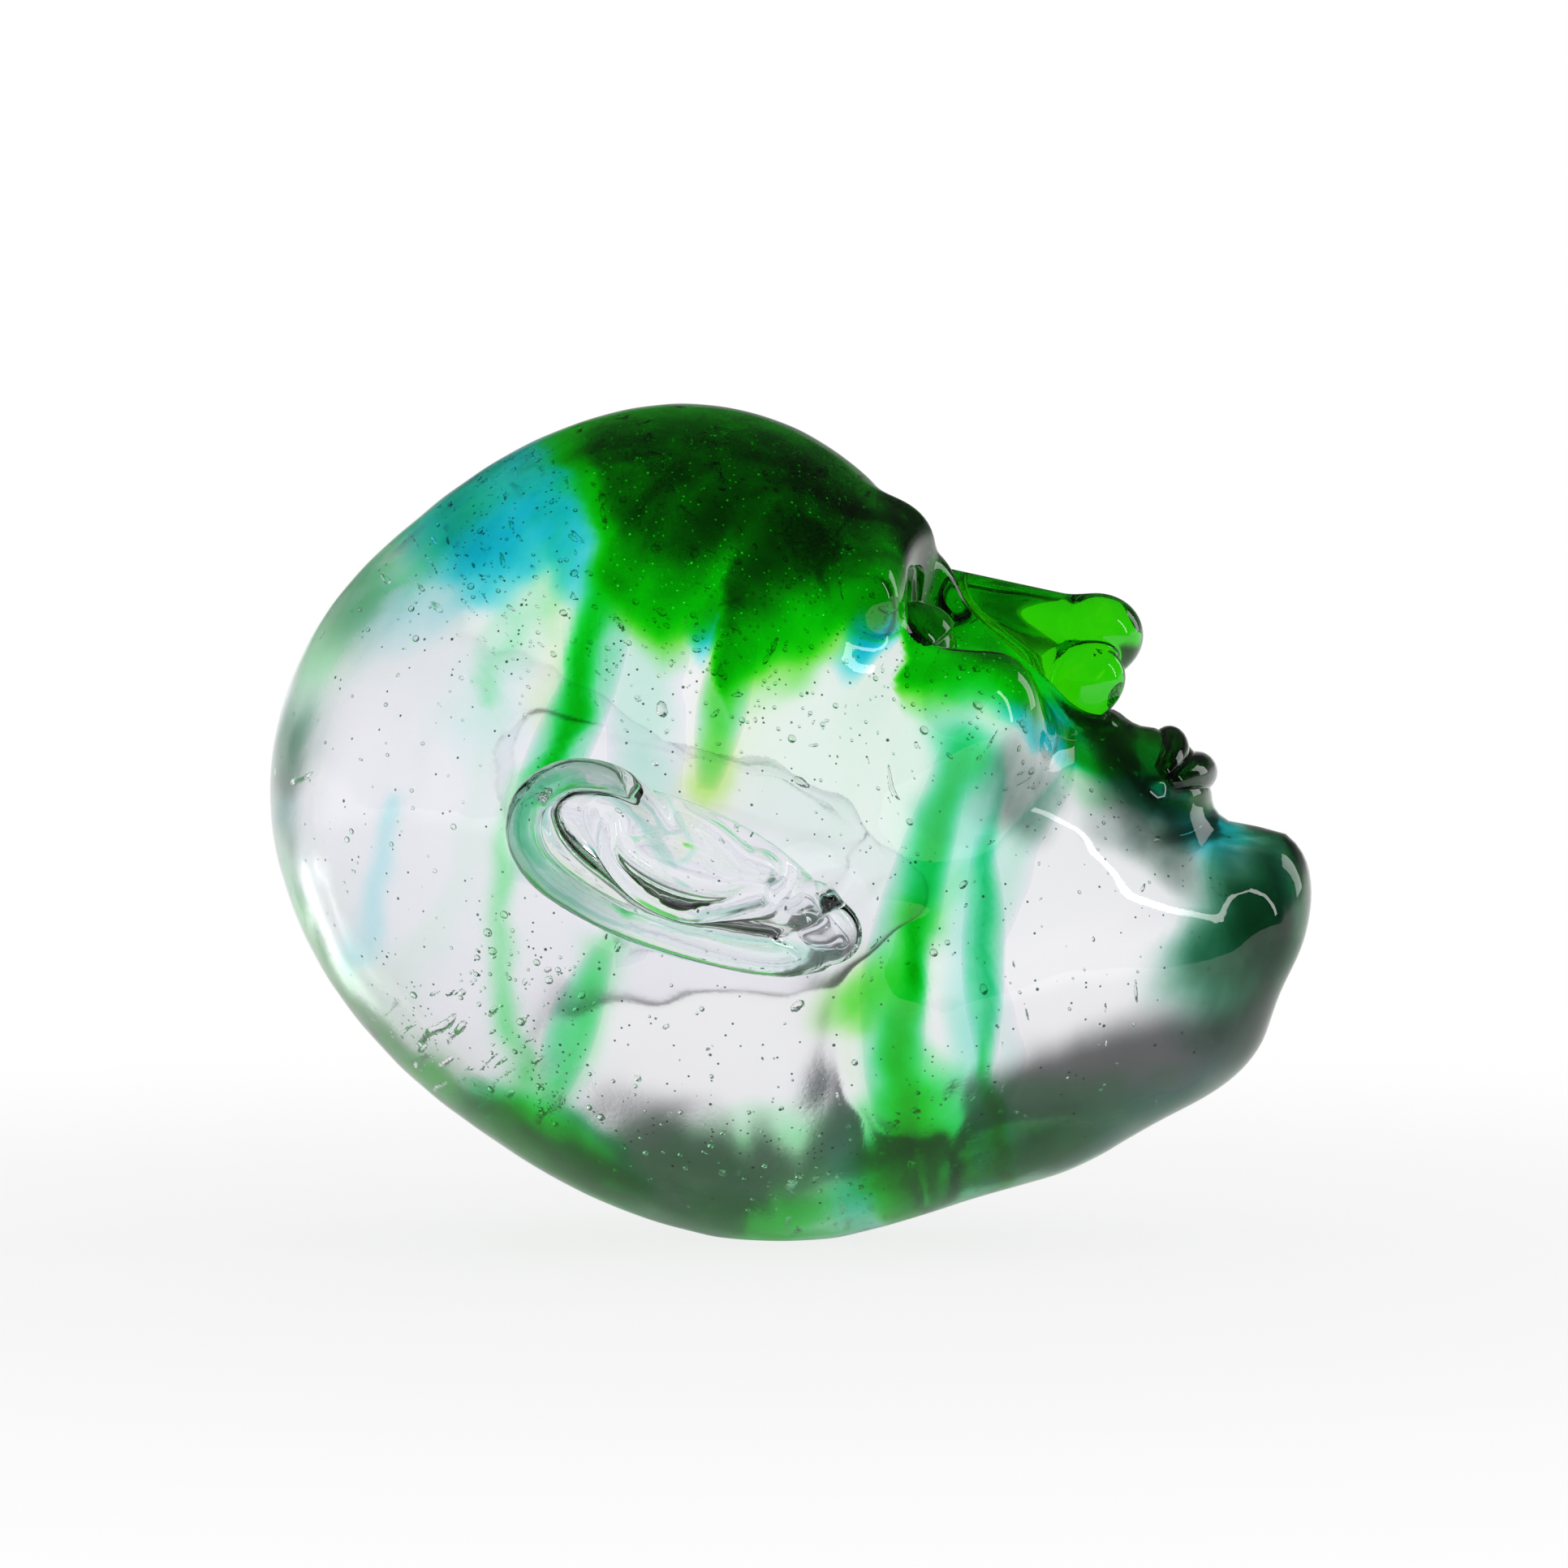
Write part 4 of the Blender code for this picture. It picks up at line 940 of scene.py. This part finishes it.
def light_studio():
    """A white surround at a plain level, with a dark ceiling that only the glass shows."""
    world = bpy.data.worlds.new("studio")
    bpy.context.scene.world = world
    world.use_nodes = True
    nodes, links = world.node_tree.nodes, world.node_tree.links
    back = nodes["Background"]
    way = nodes.new("ShaderNodeTexCoord")
    split = nodes.new("ShaderNodeSeparateXYZ")
    links.new(way.outputs["Generated"], split.inputs[0])
    height = maths(nodes, links, "MULTIPLY_ADD", split.outputs["Z"], 0.5, 0.5)
    patches = noise(nodes, links, way.outputs["Generated"], 2.6, 1.0)
    height = maths(nodes, links, "SUBTRACT", height, 0.05)
    height = maths(nodes, links, "MULTIPLY_ADD", patches, 0.10, height)
    along = maths(nodes, links, "MULTIPLY_ADD", split.outputs["X"], 0.5, 0.5)
    # Through the glass the ceiling begins lower on the left, and higher on the right and in two strips
    lower = maths(nodes, links, "SUBTRACT", height, 0.34)
    for stops, amount in (
        ([(0.20, 1.0), (0.39, 1.0), (0.42, 0.74), (0.56, 0.74), (0.80, 0.0)], 0.46),
        ([(0.41, 0.0), (0.43, 1.0), (0.45, 0.0), (0.47, 0.0), (0.485, 0.8), (0.50, 0.0)], -0.09),
    ):
        shift = ramp(nodes, stops)
        links.new(along, shift.inputs["Fac"])
        lower = maths(nodes, links, "MULTIPLY_ADD", shift.outputs["Color"], amount, lower)
    # The studio is dark on the camera side, so the front of the glass mirrors little of it
    nearer = maths(nodes, links, "MULTIPLY", split.outputs["Y"], -0.6)
    mirrored = maths(nodes, links, "ADD", height, maths(nodes, links, "MAXIMUM", nearer, 0.0))
    bands = {
        "Is Glossy Ray": [(0.0, 0.9), (0.51, 1.0), (0.60, 0.22), (0.68, 0.04), (1.0, 0.04)],
        "Is Transmission Ray": [(0.0, 0.92), (0.67, 0.92), (0.76, 0.09), (0.92, 0.09), (0.98, 0.7)],
        "Is Camera Ray": [(0.0, 1.0)],
    }
    path = nodes.new("ShaderNodeLightPath")
    level = nodes.new("ShaderNodeRGB")
    level.outputs[0].default_value = (0.6, 0.6, 0.6, 1)
    shown = level.outputs[0]
    for ray, stops in bands.items():
        band = ramp(nodes, stops)
        links.new(lower if "Transmission" in ray else mirrored, band.inputs["Fac"])
        mix = nodes.new("ShaderNodeMix")
        mix.data_type = "RGBA"
        links.new(path.outputs[ray], mix.inputs["Factor"])
        links.new(shown, mix.inputs["A"])
        links.new(band.outputs["Color"], mix.inputs["B"])
        shown = mix.outputs["Result"]
    links.new(shown, back.inputs["Color"])
    back.inputs["Strength"].default_value = 1.0


def add_lamp(name, place, aim, along, size, power):
    """A softbox whose long side runs along the given way."""
    light = bpy.data.lights.new(name, "AREA")
    light.shape = "RECTANGLE"
    light.size, light.size_y = size
    light.energy = power
    lamp = bpy.data.objects.new(name, light)
    bpy.context.scene.collection.objects.link(lamp)
    lamp.location = place
    back = (Vector(place) - Vector(aim)).normalized()
    side = (Vector(along) - back * back.dot(Vector(along))).normalized()
    lamp.rotation_euler = Matrix((side, back.cross(side), back)).transposed().to_euler()


def add_floor():
    """A white floor that keeps part of the shadow."""
    bm = bmesh.new()
    bmesh.ops.create_grid(bm, x_segments=1, y_segments=1, size=8.0)
    bmesh.ops.translate(bm, vec=(0, 0, -0.0002), verts=bm.verts)
    floor = new_object("floor", bm)
    material, nodes, links = new_material("pale_floor")
    shader = nodes["Principled BSDF"]
    shader.inputs["Base Color"].default_value = (0.9, 0.9, 0.9, 1)
    shader.inputs["Roughness"].default_value = 0.9
    glow = nodes.new("ShaderNodeEmission")
    path = nodes.new("ShaderNodeLightPath")
    rays = path.outputs
    seen = maths(nodes, links, "MAXIMUM", rays["Is Camera Ray"], rays["Is Transmission Ray"])
    where = nodes.new("ShaderNodeTexCoord")
    far = vectors(nodes, links, "LENGTH", where.outputs["Object"])
    away = nodes.new("ShaderNodeMapRange")
    away.interpolation_type = "SMOOTHSTEP"
    links.new(far, away.inputs["Value"])
    away.inputs["From Min"].default_value = 0.10
    away.inputs["From Max"].default_value = 0.45
    away.inputs["To Min"].default_value = 0.82
    seen = maths(nodes, links, "MULTIPLY", seen, away.outputs[0])
    # Mirrored in the glass, the floor keeps more of the shadow
    dim = maths(nodes, links, "POWER", away.outputs[0], 8.0)
    dim = maths(nodes, links, "MULTIPLY", rays["Is Glossy Ray"], dim)
    seen = maths(nodes, links, "MAXIMUM", seen, dim)
    mix = nodes.new("ShaderNodeMixShader")
    links.new(seen, mix.inputs[0])
    links.new(shader.outputs[0], mix.inputs[1])
    links.new(glow.outputs[0], mix.inputs[2])
    links.new(mix.outputs[0], nodes["Material Output"].inputs["Surface"])
    floor.data.materials.append(material)


def add_camera():
    camera = bpy.data.cameras.new("photo_camera")
    camera.lens = 120.0
    camera.sensor_width = 36.0
    made = bpy.data.objects.new("photo_camera", camera)
    bpy.context.scene.collection.objects.link(made)
    back = Vector((0.0, -math.cos(CAMERA_TILT), math.sin(CAMERA_TILT)))
    made.location = CAMERA_AIM + back * CAMERA_FAR
    made.rotation_euler = (-back).to_track_quat("-Z", "Y").to_euler()
    camera.clip_start, camera.clip_end = 0.01, 100.0
    bpy.context.scene.camera = made


def main():
    bpy.context.scene.view_settings.view_transform = "Standard"
    groups = {"dyes": dye_group(), "seeds": seed_group(), "skin": skin_group()}
    dark = bit_glass("dark_green_glass", groups, Green=1.6, Smoke=0.12)
    painted = {"Green": "green", "Smoke": "smoke", "Blue": "blue"}
    ear_glass = {
        1: bit_glass("satin_ear_crystal", groups, 0.00004, 0.26, 1.10, **painted),
        -1: bit_glass("ear_crystal", groups, 0.00004, **painted),
    }
    build_body(body_glass(groups))
    build_nose(bit_glass("bright_green_glass", groups, 0.0001, Green=0.28, Lime=0.65))
    build_lips(dark, bit_glass("teal_glass", groups, Green=0.2, Blue=0.6))
    for side in (1, -1):
        build_eyelid(side, dark)
        build_ear(side, ear_glass[side])
    build_trails(trail_glass(groups))
    build_seeds(seed_glass())
    light_studio()
    add_lamp("face_strip", (0.85, -0.35, 0.5), (0.03, 0, 0.08), (0.82, 0, -0.57), (0.7, 0.06), 0.9)
    add_lamp("side_softbox", (0.9, 0.5, 0.5), (0, 0, 0.06), (0, 0, 1), (0.6, 0.3), 1.2)
    add_floor()
    add_camera()


main()
